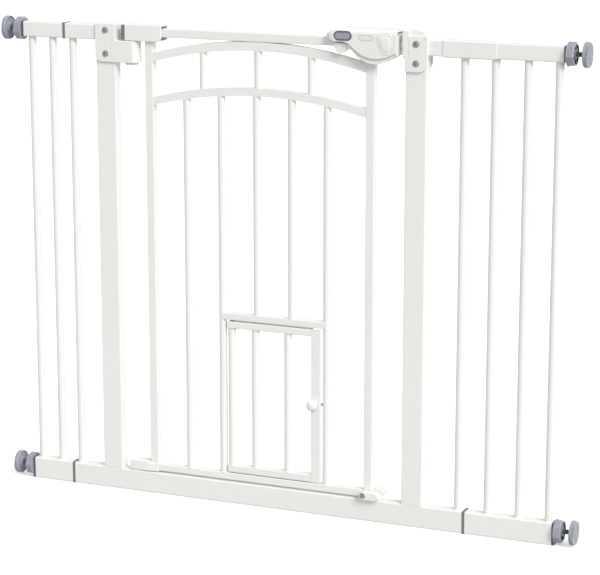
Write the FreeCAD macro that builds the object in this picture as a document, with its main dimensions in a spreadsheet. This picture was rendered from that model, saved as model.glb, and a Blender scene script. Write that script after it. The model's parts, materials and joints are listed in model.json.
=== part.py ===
import FreeCAD, Part
import os
import math
import Sketcher
from FreeCAD import Vector, Rotation, Placement

# Pressure-mounted metal pet gate with a walk-through door and a small cat door.
# Frame: X across the doorway, Z up, the front faces -Y. The origin is on the
# underside of the bottom rail, midway between the four wall pads. Millimetres.

doc = FreeCAD.newDocument("pet_gate")
sheet = doc.addObject("Spreadsheet::Sheet", "Sizes")
ROW = [0]


class Size:
    """A number together with the spreadsheet expression that gives it."""

    def __init__(self, v, e):
        self.v = float(v)
        self.e = e

    def __add__(self, o):
        o = size(o)
        return Size(self.v + o.v, "(%s + %s)" % (self.e, o.e))

    def __radd__(self, o):
        return size(o) + self

    def __sub__(self, o):
        o = size(o)
        return Size(self.v - o.v, "(%s - %s)" % (self.e, o.e))

    def __rsub__(self, o):
        return size(o) - self

    def __mul__(self, o):
        o = size(o)
        return Size(self.v * o.v, "(%s * %s)" % (self.e, o.e))

    def __rmul__(self, o):
        return size(o) * self

    def __truediv__(self, o):
        o = size(o)
        return Size(self.v / o.v, "(%s / %s)" % (self.e, o.e))

    def __neg__(self):
        return Size(-self.v, "(0 - %s)" % self.e)


def size(o):
    return o if isinstance(o, Size) else Size(o, "%.6f" % float(o))


def cell(alias, value, note=""):
    ROW[0] += 1
    sheet.set("A%d" % ROW[0], alias)
    sheet.set("B%d" % ROW[0], repr(value))
    sheet.setAlias("B%d" % ROW[0], alias)
    if note:
        sheet.set("C%d" % ROW[0], note)
    return Size(value, "Sizes." + alias)


# ---------------------------------------------------------------- sizes
gate_height = cell("gate_height", 762.0, "top of the rails above the floor side")
rail_tall = cell("rail_tall", 35.0, "bottom rail, height")
top_tall = cell("top_tall", 24.0, "top rails, height")
rail_deep = cell("rail_deep", 20.0, "all rails and posts, front to back")
rail_wall = cell("rail_wall", 1.2, "steel tube wall")
rail_round = cell("rail_round", 2.0, "outer corner radius of the rails")
post_wide = cell("post_wide", 34.0, "posts, left to right")
frame_left = cell("frame_left", -370.7, "left end of the middle frame")
frame_right = cell("frame_right", 302.4, "right end of the middle frame")
gap_joint = cell("gap_joint", 4.0, "thickness of the grey joint spacers")
ext_left = cell("ext_left", -445.5, "outer end of the left extension")
ext_right = cell("ext_right", 445.5, "outer end of the right extension")
post_left = cell("post_left", -316.5, "left post, left side")
post_right = cell("post_right", 202.0, "right post, left side")
bar_wide = cell("bar_wide", 12.7, "round bars, diameter")
bar_wall = cell("bar_wall", 1.0, "round bars, wall")

stile_wide = cell("stile_wide", 14.0, "door stiles and top bar, square")
stile_left = cell("stile_left", -232.5, "door, left side of the left stile")
stile_right = cell("stile_right", 138.0, "door, left side of the right stile")
door_foot = cell("door_foot", 38.0, "underside of the door")
door_rail_tall = cell("door_rail_tall", 11.5, "door bottom rail, height")
door_bar_low = cell("door_bar_low", 746.0, "underside of the door top bar")
door_wall = cell("door_wall", 1.2, "door tube wall")
hinge_x = cell("hinge_x", -258.0, "door hinge line")
hinge_pin = cell("hinge_pin", 8.0, "door hinge pins, diameter")
hinge_fit = cell("hinge_fit", 0.06, "door hinge, clearance all round")
bolt_side = cell("bolt_side", 11.0, "latch bolt, square")

arch_deep = cell("arch_deep", 13.0, "arches, front to back")
arch_up_top = cell("arch_up_top", 745.8, "upper arch, top of the crown")
arch_up_tall = cell("arch_up_tall", 13.8, "upper arch, height of its tube")
arch_up_radius = cell("arch_up_radius", 666.0, "upper arch, outer radius")
arch_low_top = cell("arch_low_top", 674.6, "lower arch, top of the crown")
arch_low_tall = cell("arch_low_tall", 12.6, "lower arch, height of its tube")
arch_low_radius = cell("arch_low_radius", 711.0, "lower arch, outer radius")

lintel_low = cell("lintel_low", 303.0, "underside of the cat door lintel")
lintel_tall = cell("lintel_tall", 11.5, "lintel, height")
cat_low = cell("cat_low", 51.0, "underside of the cat door")
cat_rail_tall = cell("cat_rail_tall", 12.0, "cat door bottom rail, height")
cat_top_tall = cell("cat_top_tall", 11.0, "cat door top rail, height")
cat_high = cell("cat_high", 300.5, "top of the cat door")
cat_deep = cell("cat_deep", 13.0, "cat door rails, front to back")
cat_hinge_x = cell("cat_hinge_x", -88.5, "cat door hinge line")
cat_pin = cell("cat_pin", 6.0, "cat door pivot pins, diameter")
cat_fit = cell("cat_fit", 0.06, "cat door pivots, clearance all round")
cat_left = cell("cat_left", -94.0, "cat door rails, left end")
cat_stile_left = cell("cat_stile_left", 48.5, "cat door flat stile, left side")
cat_stile_wide = cell("cat_stile_wide", 16.0, "cat door flat stile, width")
cat_stile_thick = cell("cat_stile_thick", 4.5, "cat door flat stile, thickness")
cat_stile_front = cell("cat_stile_front", -6.0, "cat door flat stile, front face")
cat_latch_up = cell("cat_latch_up", 178.5, "height of the cat door latch")
cat_knob_x = cell("cat_knob_x", 57.0, "cat door latch knob, its stem")
cat_knob_wide = cell("cat_knob_wide", 18.0, "cat door latch knob, diameter")

low_axis = cell("low_axis", 21.5, "height of the lower spindles")
high_axis = cell("high_axis", 750.0, "height of the upper spindles")
spindle_wide = cell("spindle_wide", 8.0, "spindles, diameter")
spindle_fit = cell("spindle_fit", 0.06, "spindle thread clearance")
plug_lip = cell("plug_lip", 4.0, "end plug, collar thickness")
nut_wide = cell("nut_wide", 38.6, "hand nuts, across the lobes")
nut_thick = cell("nut_thick", 12.0, "hand nuts, thickness")
pad_wide = cell("pad_wide", 38.0, "wall pads, diameter")
pad_thick = cell("pad_thick", 10.0, "wall pads, thickness")
pad_reach = cell("pad_reach", 37.0, "pad face beyond the rail end")

shell_deep = cell("shell_deep", 46.0, "handle shell, front to back")
shell_inside = cell("shell_inside", 41.0, "handle shell, inside width")
base_deep = cell("base_deep", 39.0, "handle base, front to back")
lift_x = cell("lift_x", 180.0, "handle pivot, across")
lift_z = cell("lift_z", 764.0, "handle pivot, height")
lift_pin = cell("lift_pin", 5.0, "handle pivot pin, diameter")
stop_x = cell("stop_x", 141.0, "stop fork pivot, across")
stop_z = cell("stop_z", 43.8, "stop fork pivot, height")
stop_pin_wide = cell("stop_pin_wide", 5.0, "stop fork pin, diameter")
screw_wide = cell("screw_wide", 9.4, "bracket screws, head diameter")
screw_shank = cell("screw_shank", 4.0, "bracket screws, shank diameter")
doc.recompute()

PARTS = []


# ---------------------------------------------------------------- helpers
def bind(obj, prop, value):
    obj.setExpression(prop, size(value).e)


def put(obj, x=0, y=0, z=0, rot=None):
    x, y, z = size(x), size(y), size(z)
    obj.Placement = Placement(Vector(x.v, y.v, z.v), rot or Rotation())
    bind(obj, "Placement.Base.x", x)
    bind(obj, "Placement.Base.y", y)
    bind(obj, "Placement.Base.z", z)
    return obj


def node(obj, name):
    obj.Label = name
    PARTS.append(obj)
    return obj


def body(name):
    return doc.addObject("PartDesign::Body", name)


def sketch(b, name, role="XY_Plane"):
    s = b.newObject("Sketcher::SketchObject", name)
    plane = [o for o in b.Origin.OriginFeatures if o.Role == role][0]
    s.AttachmentSupport = [(plane, "")]
    s.MapMode = "FlatFace"
    return s


def dim(s, kind, args, value):
    value = size(value)
    i = s.addConstraint(Sketcher.Constraint(kind, *(list(args) + [value.v])))
    s.setExpression("Constraints[%d]" % i, value.e)


def rectangle(s, w, d):
    """A rectangle centred on the sketch origin."""
    w, d = size(w), size(d)
    n = s.GeometryCount
    a, b = w.v / 2, d.v / 2
    p = [Vector(-a, -b, 0), Vector(a, -b, 0), Vector(a, b, 0), Vector(-a, b, 0)]
    for i in range(4):
        s.addGeometry(Part.LineSegment(p[i], p[(i + 1) % 4]))
    for i in range(4):
        s.addConstraint(Sketcher.Constraint("Coincident", n + i, 2, n + (i + 1) % 4, 1))
    s.addConstraint(Sketcher.Constraint("Horizontal", n))
    s.addConstraint(Sketcher.Constraint("Horizontal", n + 2))
    s.addConstraint(Sketcher.Constraint("Vertical", n + 1))
    s.addConstraint(Sketcher.Constraint("Vertical", n + 3))
    s.addConstraint(Sketcher.Constraint("Symmetric", n, 1, n + 2, 1, -1, 1))
    dim(s, "DistanceX", (n, 1, n, 2), w)
    dim(s, "DistanceY", (n + 1, 1, n + 1, 2), d)


def outline(s, points):
    """A closed outline through the given points, each held to its sizes."""
    n = s.GeometryCount
    pts = [(size(a), size(b)) for a, b in points]
    k = len(pts)
    for i in range(k):
        a, b = pts[i], pts[(i + 1) % k]
        s.addGeometry(Part.LineSegment(Vector(a[0].v, a[1].v, 0), Vector(b[0].v, b[1].v, 0)))
    for i in range(k):
        s.addConstraint(Sketcher.Constraint("Coincident", n + i, 2, n + (i + 1) % k, 1))
    for i in range(k):
        dim(s, "DistanceX", (-1, 1, n + i, 1), pts[i][0])
        dim(s, "DistanceY", (-1, 1, n + i, 1), pts[i][1])


def circle(s, r, cx=None, cy=None):
    n = s.GeometryCount
    r = size(r)
    s.addGeometry(Part.Circle(Vector(size(cx or 0).v, size(cy or 0).v, 0), Vector(0, 0, 1), r.v))
    if cx is None:
        s.addConstraint(Sketcher.Constraint("Coincident", n, 3, -1, 1))
    else:
        dim(s, "DistanceX", (-1, 1, n, 3), cx)
        dim(s, "DistanceY", (-1, 1, n, 3), cy)
    dim(s, "Radius", (n,), r)


def pad(b, s, length, name="Pad", both=False):
    p = b.newObject("PartDesign::Pad", name)
    p.Profile = s
    p.Length = size(length).v
    bind(p, "Length", length)
    if both:
        if "SideType" in p.PropertiesList:
            p.SideType = "Symmetric"
        else:
            p.Midplane = True
    s.Visibility = False
    return p


def pocket(b, s, length, name="Pocket", reverse=False, both=False, through=False):
    p = b.newObject("PartDesign::Pocket", name)
    p.Profile = s
    p.Length = size(length).v
    bind(p, "Length", length)
    p.Reversed = reverse
    if both:
        if "SideType" in p.PropertiesList:
            p.SideType = "Symmetric"
        else:
            p.Midplane = True
    return p


def edges_of(shape, test):
    names = []
    for i, e in enumerate(shape.Edges):
        if test(e):
            names.append("Edge%d" % (i + 1))
    return names


def along(e, axis):
    """True for a straight edge that runs along the given axis."""
    if e.Curve.TypeId != "Part::GeomLine":
        return False
    d = e.Vertexes[-1].Point - e.Vertexes[0].Point
    d.normalize()
    return abs(d.dot(axis)) > 0.999


def fillet(b, base, test, radius, name="Fillet"):
    doc.recompute()
    f = b.newObject("PartDesign::Fillet", name)
    f.Base = (base, edges_of(base.Shape, test))
    f.Radius = size(radius).v
    bind(f, "Radius", radius)
    doc.recompute()
    if "Invalid" in f.State or f.Shape.isNull():
        raise SystemExit("fillet failed: " + b.Name + " " + name)
    return f


EX, EY, EZ = Vector(1, 0, 0), Vector(0, 1, 0), Vector(0, 0, 1)
TO_X = Rotation(Vector(1, 1, 1), 120)      # local x to Y, y to Z, z to X
TO_Y = Rotation(Vector(1, 1, 1), -120)     # local x to Z, y to X, z to Y
FACE = Rotation(Vector(1, 0, 0), 90)       # local x to X, y to Z, z to -Y


def square_tube(name, wide, deep, wall, length, rounding):
    """Rectangular tube along its local Z, with rounded outer corners."""
    wide, deep, wall, length = size(wide), size(deep), size(wall), size(length)
    b = body(name)
    s = sketch(b, name + "_section")
    rectangle(s, wide, deep)
    rectangle(s, wide - 2 * wall, deep - 2 * wall)
    p = pad(b, s, length, name + "_pad")
    doc.recompute()

    def outer(e):
        if not along(e, EZ):
            return False
        v = e.Vertexes[0].Point
        return abs(abs(v.x) - wide.v / 2) < 1e-6 and abs(abs(v.y) - deep.v / 2) < 1e-6
    fillet(b, p, outer, rounding, name + "_corners")
    return b


def round_tube(name, wide, wall, length):
    b = body(name)
    s = sketch(b, name + "_section")
    circle(s, size(wide) / 2)
    circle(s, size(wide) / 2 - wall)
    pad(b, s, length, name + "_pad")
    return b


def cylinder(name, radius, length, x, y, z, rot=None):
    c = doc.addObject("Part::Cylinder", name)
    c.Radius = size(radius).v
    c.Height = size(length).v
    bind(c, "Radius", radius)
    bind(c, "Height", length)
    return put(c, x, y, z, rot)


def box(name, x0, x1, y0, y1, z0, z1):
    c = doc.addObject("Part::Box", name)
    for prop, a, b in (("Length", x0, x1), ("Width", y0, y1), ("Height", z0, z1)):
        v = size(b) - a
        setattr(c, prop, v.v)
        bind(c, prop, v)
    return put(c, x0, y0, z0)


def cut(name, base, tool):
    c = doc.addObject("Part::Cut", name)
    c.Base = base
    c.Tool = tool
    return c


def common(name, base, tool):
    c = doc.addObject("Part::Common", name)
    c.Base = base
    c.Tool = tool
    return c


def group(name, members):
    c = doc.addObject("Part::Compound", name)
    c.Links = members
    return c


def fuse(name, members):
    c = doc.addObject("Part::MultiFuse", name)
    c.Shapes = members
    c.Refine = True
    return c


half_deep = rail_deep / 2
top_low = gate_height - top_tall

# ---------------------------------------------------------------- frame rails
# Rectangular steel tubes along X. The bottom rail runs under the doorway; the
# top rails are short stubs, so that the walk-through stays open at the top.
def rail(name, x0, x1, z0, tall):
    t = square_tube(name, rail_deep, tall, rail_wall, size(x1) - x0, rail_round)
    return node(put(t, x0, 0, size(z0) + size(tall) / 2, TO_X), name)


rail("left_extension_bottom_rail", ext_left, frame_left - gap_joint, 0, rail_tall)
rail("left_extension_top_rail", ext_left, frame_left - gap_joint, top_low, top_tall)
rail("right_extension_bottom_rail", frame_right + gap_joint, ext_right, 0, rail_tall)
rail("right_extension_top_rail", frame_right + gap_joint, ext_right, top_low, top_tall)
rail("left_top_rail", frame_left, post_left, top_low, top_tall)
rail("right_top_rail", post_right + post_wide, frame_right, top_low, top_tall)

# The bottom rail has a hole in its top wall for the lower hinge pin.
low = square_tube("bottom_rail_tube", rail_deep, rail_tall, rail_wall,
                  frame_right - frame_left, rail_round)
put(low, frame_left, 0, rail_tall / 2, TO_X)
low_hole = cylinder("bottom_rail_pin_hole", hinge_pin / 2, 6, hinge_x, 0, rail_tall - 4)
node(cut("bottom_rail", low, low_hole), "bottom_rail")


# ---------------------------------------------------------------- posts
# Upright rectangular tubes either side of the walk-through, drilled in front
# for the screws of the hinge bracket and of the latch keeper.
def post(name, x0, screws):
    t = square_tube(name + "_tube", post_wide, rail_deep, rail_wall,
                    gate_height - rail_tall, rail_round)
    put(t, size(x0) + post_wide / 2, 0, rail_tall)
    holes = [cylinder("%s_hole_%d" % (name, i), screw_shank / 2, 8, x, -half_deep - 2, z,
                      Rotation(EX, -90)) for i, (x, z) in enumerate(screws)]
    return node(cut(name, t, fuse(name + "_holes", holes)), name)


screw_left_x = cell("screw_left_x", -298.0, "hinge bracket screws, across")
screw_left_high = cell("screw_left_high", 754.0, "hinge bracket, upper screw")
screw_left_low = cell("screw_left_low", 717.0, "hinge bracket, lower screw")
screw_right_x = cell("screw_right_x", 219.5, "keeper screws, across")
screw_right_high = cell("screw_right_high", 755.0, "keeper, upper screw")
screw_right_low = cell("screw_right_low", 726.0, "keeper, lower screw")
doc.recompute()
LEFT_SCREWS = [(screw_left_x, screw_left_high), (screw_left_x, screw_left_low)]
RIGHT_SCREWS = [(screw_right_x, screw_right_high), (screw_right_x, screw_right_low)]
post("left_post", post_left, LEFT_SCREWS)
post("right_post", post_right, RIGHT_SCREWS)


# ---------------------------------------------------------------- frame bars
def frame_bars(name, places):
    tubes = []
    for i, x in enumerate(places):
        t = round_tube("%s_%d" % (name, i + 1), bar_wide, bar_wall, top_low - rail_tall)
        tubes.append(put(t, x, 0, rail_tall))
    if len(tubes) == 1:
        return node(tubes[0], name)
    return node(group(name, tubes), name)


# Two bars belong to the left extension and one to the middle frame; on the
# right, one belongs to the middle frame and three to the longer extension.
frame_bars("left_side_bars", [cell("left_bar_one", -434.7), cell("left_bar_two", -398.1),
                              cell("left_bar_three", -361.9)])
bar_at = {"right_bar_one": cell("right_bar_one", 292.5), "right_bar_two": cell("right_bar_two", 340.3)}
frame_bars("right_side_bars", [bar_at["right_bar_one"], bar_at["right_bar_two"],
                               cell("right_bar_three", 390.1), cell("right_bar_four", 437.7)])


# ---------------------------------------------------------------- extension joints
# Grey spacers between the rail ends, each a plate with a hole for the spigot,
# and the spigots that slide into both rails. The top right joint is covered
# by a slightly larger sleeve instead.
spigot_thick = cell("spigot_thick", 2.0, "spigot, wall")
spigot_reach = cell("spigot_reach", 20.0, "spigot, length in each rail")
spacer_proud = cell("spacer_proud", 0.7, "spacer, proud of the rail all round")
sleeve_left = cell("sleeve_left", 261.3, "top sleeve, left end")
sleeve_right = cell("sleeve_right", 343.0, "top sleeve, right end")
sleeve_proud = cell("sleeve_proud", 1.3, "top sleeve, proud of the rail")
doc.recompute()
spacers, spigots = [], []
for tag, x, z0, tall in (("low_left", frame_left - gap_joint, size(0), rail_tall),
                         ("high_left", frame_left - gap_joint, top_low, top_tall),
                         ("low_right", frame_right, size(0), rail_tall),
                         ("high_right", frame_right, top_low, top_tall)):
    inner_deep = rail_deep - 2 * rail_wall
    inner_tall = tall - 2 * rail_wall
    proud = spacer_proud if tag != "high_right" else size(0)
    lift = proud if z0.v > 1 else size(0)
    b = body("spacer_" + tag)
    s = sketch(b, "spacer_section_" + tag)
    low_edge = -(tall / 2) - lift
    outline(s, [(-(rail_deep / 2) - proud, low_edge), (rail_deep / 2 + proud, low_edge),
                (rail_deep / 2 + proud, tall / 2 + proud),
                (-(rail_deep / 2) - proud, tall / 2 + proud)])
    rectangle(s, inner_deep, inner_tall)
    pad(b, s, gap_joint, "spacer_pad_" + tag)
    spacers.append(put(b, x, 0, z0 + tall / 2, TO_X))
    t = square_tube("spigot_" + tag, inner_deep, inner_tall, spigot_thick,
                    gap_joint + 2 * spigot_reach, 0.8)
    spigots.append(put(t, x - spigot_reach, 0, z0 + tall / 2, TO_X))
node(group("joint_spacers", spacers), "joint_spacers")
node(group("joint_spigots", spigots), "joint_spigots")

b = body("right_sleeve_body")
s = sketch(b, "sleeve_section")
rectangle(s, rail_deep + 2 * sleeve_proud, top_tall + 2 * sleeve_proud)
rectangle(s, rail_deep, top_tall)
p = pad(b, s, sleeve_right - sleeve_left, "sleeve_pad")
doc.recompute()
fillet(b, p, lambda e: along(e, EZ) and abs(abs(e.Vertexes[0].Point.x) - 11.3) < 0.01
       and abs(abs(e.Vertexes[0].Point.y) - 13.3) < 0.01, 2.4, "sleeve_corners")
put(b, sleeve_left, 0, top_low + top_tall / 2, TO_X)
# the two bars that stand under the sleeve pass through its lower wall
tools = [cylinder("sleeve_bar_hole_%d" % i, bar_wide / 2 + 0.05, 10, x, 0, top_low - 6)
         for i, x in enumerate([bar_at["right_bar_one"], bar_at["right_bar_two"]])]
node(cut("right_joint_sleeve", b, fuse("sleeve_cuts", tools)), "right_joint_sleeve")


# ---------------------------------------------------------------- end plugs
# Plastic plugs close the outer rail ends and guide the spindles.
CORNERS = (("lower_left", -1, low_axis, size(0), rail_tall),
           ("upper_left", -1, high_axis, top_low, top_tall),
           ("lower_right", 1, low_axis, size(0), rail_tall),
           ("upper_right", 1, high_axis, top_low, top_tall))
plug_deep_in = cell("plug_deep_in", 10.0, "end plug, length inside the rail")
doc.recompute()
plugs = []
for tag, side, axis, z0, tall in CORNERS:
    plate = body("plug_collar_" + tag)
    s = sketch(plate, "plug_collar_section_" + tag)
    rectangle(s, rail_deep, tall)
    p = pad(plate, s, plug_lip, "plug_collar_pad_" + tag)
    fillet(plate, p, lambda e: along(e, EZ), 2.0, "plug_collar_corners_" + tag)
    stem = body("plug_stem_" + tag)
    s = sketch(stem, "plug_stem_section_" + tag)
    rectangle(s, rail_deep - 2 * rail_wall, tall - 2 * rail_wall)
    pad(stem, s, plug_deep_in, "plug_stem_pad_" + tag)
    end = ext_right if side > 0 else ext_left
    if side > 0:
        put(plate, end, 0, z0 + tall / 2, TO_X)
        put(stem, end - plug_deep_in, 0, z0 + tall / 2, TO_X)
    else:
        put(plate, end - plug_lip, 0, z0 + tall / 2, TO_X)
        put(stem, end, 0, z0 + tall / 2, TO_X)
    bore = cylinder("plug_bore_" + tag, spindle_wide / 2 + spindle_fit, 40,
                    end - 20, 0, axis, TO_X)
    plugs.append(cut("plug_" + tag, fuse("plug_solid_" + tag, [plate, stem]), bore))
node(group("rail_end_plugs", plugs), "rail_end_plugs")


# ---------------------------------------------------------------- spindles, nuts, pads
# Each corner has a threaded spindle that carries a wall pad. Turning the hand
# nut, which bears on the end plug, winds the spindle out against the wall.
spindle_in = cell("spindle_in", 25.0, "spindle, length inside the rail end")
nut_bore_deep = cell("nut_bore_deep", 5.0, "hand nut, depth of the hollow face")
doc.recompute()
for tag, side, axis, z0, tall in CORNERS:
    end = ext_right if side > 0 else ext_left
    sg = float(side)
    length = spindle_in + pad_reach - pad_thick + 3
    x0 = end - spindle_in if side > 0 else end + spindle_in
    turn = TO_X if side > 0 else Rotation(EY, -90)
    node(cylinder("spindle_" + tag, spindle_wide / 2, length, x0, 0, axis, turn),
         "spindle_" + tag)
    # the hand nut: eight lobes, a hollow outer face and a hub
    b = body("nut_" + tag)
    s = sketch(b, "nut_outline_" + tag)
    pts = []
    for i in range(16):
        ang = math.radians(22.5 * i + 11.25)
        rr = nut_wide / 2 * (0.995 if i % 2 == 0 else 0.995)
        pts.append((rr * round(math.cos(ang), 6), rr * round(math.sin(ang), 6)))
    outline(s, pts)
    circle(s, spindle_wide / 2 + spindle_fit)
    p = pad(b, s, nut_thick, "nut_pad_" + tag)
    doc.recompute()
    before = p.Shape.Volume
    top_face = [f for f in b.Origin.OriginFeatures if f.Role == "XY_Plane"][0]
    s2 = b.newObject("Sketcher::SketchObject", "nut_hollow_" + tag)
    s2.AttachmentSupport = [(top_face, "")]
    s2.MapMode = "FlatFace"
    s2.AttachmentOffset = Placement(Vector(0, 0, nut_thick.v), Rotation())
    s2.setExpression("AttachmentOffset.Base.z", nut_thick.e)
    circle(s2, nut_wide / 2 - 3.2)
    circle(s2, size(7.0))
    q = pocket(b, s2, nut_bore_deep, "nut_hollow_cut_" + tag)
    doc.recompute()
    if q.Shape.Volume > before - 100:
        q.Reversed = True
        doc.recompute()
    assert q.Shape.Volume < before - 100
    x1 = end + plug_lip if side > 0 else end - plug_lip
    node(put(b, x1, 0, axis, turn), "nut_" + tag)
    # the wall pad: a cup with a flat outer face and a socket for the spindle
    b = body("pad_" + tag)
    s = sketch(b, "pad_profile_" + tag, "XZ_Plane")
    rr = pad_wide / 2
    outline(s, [(size(0), size(3.0)), (spindle_wide / 2, size(3.0)), (spindle_wide / 2, size(0)),
                (size(8.5), size(0)), (size(8.5), size(4.0)), (rr - 1.6, size(4.0)),
                (rr - 1.6, size(1.6)), (rr - 0.6, size(1.6)), (rr, size(2.6)),
                (rr, pad_thick - 0.8), (rr - 0.8, pad_thick), (size(0), pad_thick)])
    r = b.newObject("PartDesign::Revolution", "pad_turned_" + tag)
    r.Profile = s
    r.ReferenceAxis = ([o for o in b.Origin.OriginFeatures if o.Role == "Z_Axis"][0], [""])
    r.Angle = 360
    doc.recompute()
    reach = pad_reach - pad_thick
    x2 = end + reach if side > 0 else end - reach
    node(put(b, x2, 0, axis, turn), "pad_" + tag)


# ---------------------------------------------------------------- hinge bracket
# Moulded bracket that wraps the left post and carries the upper hinge pin in
# the boss at its lower right.
bracket_left = cell("bracket_left", -316.0)
bracket_right = cell("bracket_right", -280.0)
bracket_low = cell("bracket_low", 704.0)
bracket_high = cell("bracket_high", 765.0)
boss_right = cell("boss_right", -243.0)
boss_high = cell("boss_high", 738.6)
bracket_deep = cell("bracket_deep", 27.0)
doc.recompute()
b = body("hinge_bracket_body")
s = sketch(b, "bracket_face", "XZ_Plane")
outline(s, [(bracket_left, bracket_high), (bracket_left, bracket_low), (boss_right, bracket_low),
            (boss_right, boss_high), (bracket_right, boss_high), (bracket_right, bracket_high)])
p = pad(b, s, bracket_deep, "bracket_pad", both=True)
doc.recompute()


def at_y(e, x, z):
    v = e.Vertexes[0].Point
    return along(e, EY) and abs(v.x - x) < 0.01 and abs(v.z - z) < 0.01


f1 = fillet(b, p, lambda e: at_y(e, bracket_left.v, bracket_low.v), 11.0, "bracket_corner")
f2 = fillet(b, f1, lambda e: at_y(e, bracket_left.v, bracket_high.v)
            or at_y(e, bracket_right.v, bracket_high.v), 2.5, "bracket_top_corners")
f3 = fillet(b, f2, lambda e: along(e, EZ) and abs(e.Vertexes[0].Point.x - boss_right.v) < 0.01,
            9.0, "bracket_boss_round")
f4 = fillet(b, f3, lambda e: abs(abs(e.CenterOfMass.y) - bracket_deep.v / 2) < 0.01, 1.2,
            "bracket_edges")
slot = box("bracket_post_slot", bracket_left - 5, post_left + post_wide, -half_deep, half_deep,
           bracket_low - 5, bracket_high + 5)
panel = box("bracket_panel", bracket_left + 3, bracket_right - 12.2,
            -(bracket_deep / 2) - 1, -(bracket_deep / 2) + 0.8, screw_left_low + 8,
            screw_left_high - 8)
groove = box("bracket_groove", bracket_right - 10.2, bracket_right - 8.8,
             -(bracket_deep / 2) - 1, -(bracket_deep / 2) + 1.2, bracket_low - 1, bracket_high + 1)
pin_hole = cylinder("bracket_pin_hole", hinge_pin / 2, 60, hinge_x, 0, bracket_low - 10)
tools = [slot, panel, groove, pin_hole]
for i, (x, z) in enumerate(LEFT_SCREWS):
    tools.append(cylinder("bracket_screw_hole_%d" % i, screw_shank / 2, 10, x, -half_deep - 6, z,
                          Rotation(EX, -90)))
node(cut("left_hinge_bracket", b, fuse("bracket_cuts", tools)), "left_hinge_bracket")

# Upper hinge pin: head under the boss, shank up through the boss into the door.
b = body("upper_hinge_pin")
s = sketch(b, "upper_pin_profile", "XZ_Plane")
outline(s, [(size(0), size(700.4)), (size(10.2), size(700.4)), (size(10.9), size(701.0)),
            (size(10.9), bracket_low), (hinge_pin / 2, bracket_low),
            (hinge_pin / 2, size(759.0)), (hinge_pin / 2 - 1, size(760.0)), (size(0), size(760.0))])
r = b.newObject("PartDesign::Revolution", "upper_pin_turned")
r.Profile = s
r.ReferenceAxis = ([o for o in b.Origin.OriginFeatures if o.Role == "Z_Axis"][0], [""])
r.Angle = 360
doc.recompute()
upper_pin = put(b, hinge_x, 0, 0)

# Lower hinge pin: stands in the bottom rail, with a collar that the door rides on.
b = body("lower_hinge_pin")
s = sketch(b, "lower_pin_profile", "XZ_Plane")
outline(s, [(size(0), rail_tall - rail_wall), (hinge_pin / 2, rail_tall - rail_wall),
            (hinge_pin / 2, rail_tall), (size(9.5), rail_tall), (size(9.5), size(36.2)),
            (hinge_pin / 2, size(36.2)), (hinge_pin / 2, size(47.5)),
            (hinge_pin / 2 - 1, size(48.5)), (size(0), size(48.5))])
r = b.newObject("PartDesign::Revolution", "lower_pin_turned")
r.Profile = s
r.ReferenceAxis = ([o for o in b.Origin.OriginFeatures if o.Role == "Z_Axis"][0], [""])
r.Angle = 360
doc.recompute()
node(group("door_hinge_pins", [upper_pin, put(b, hinge_x, 0, 0)]), "door_hinge_pins")


# ---------------------------------------------------------------- latch keeper
# Moulded keeper that wraps the top of the right post, with a recess that the
# latch bolt faces.
keeper_left = cell("keeper_left", 198.0)
keeper_right = cell("keeper_right", 238.0)
keeper_low = cell("keeper_low", 713.0)
keeper_high = cell("keeper_high", 775.0)
keeper_deep = cell("keeper_deep", 28.0)
doc.recompute()
b = body("keeper_body")
s = sketch(b, "keeper_face", "XZ_Plane")
outline(s, [(keeper_left, keeper_high - 2), (keeper_left, size(733.0)),
            (post_right, size(733.0)), (post_right, keeper_low), (keeper_right, keeper_low),
            (keeper_right, size(766.0)), (keeper_right - 3, size(770.5)),
            (keeper_right - 9, size(773.6)), (keeper_right - 18, keeper_high),
            (keeper_left + 2, keeper_high)])
p = pad(b, s, keeper_deep, "keeper_pad", both=True)
doc.recompute()
f1 = fillet(b, p, lambda e: at_y(e, keeper_right.v, keeper_low.v), 15.0, "keeper_corner")
f2 = fillet(b, f1, lambda e: abs(abs(e.CenterOfMass.y) - keeper_deep.v / 2) < 0.01, 1.2,
            "keeper_edges")
tools = [box("keeper_post_slot", post_right, keeper_right + 10, -half_deep, half_deep,
             keeper_low - 10, gate_height),
         box("keeper_recess", keeper_left - 1, keeper_left + 2.5, size(-8), size(8),
             size(744.0), size(762.0)),
         box("keeper_groove", keeper_left + 9.2, keeper_left + 10.6, -(keeper_deep / 2) - 1,
             -(keeper_deep / 2) + 1.2, keeper_low - 1, keeper_high + 1)]
for i, (x, z) in enumerate(RIGHT_SCREWS):
    tools.append(cylinder("keeper_screw_hole_%d" % i, screw_shank / 2, 10, x, -half_deep - 6, z,
                          Rotation(EX, -90)))
node(cut("latch_keeper", b, fuse("keeper_cuts", tools)), "latch_keeper")

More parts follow.
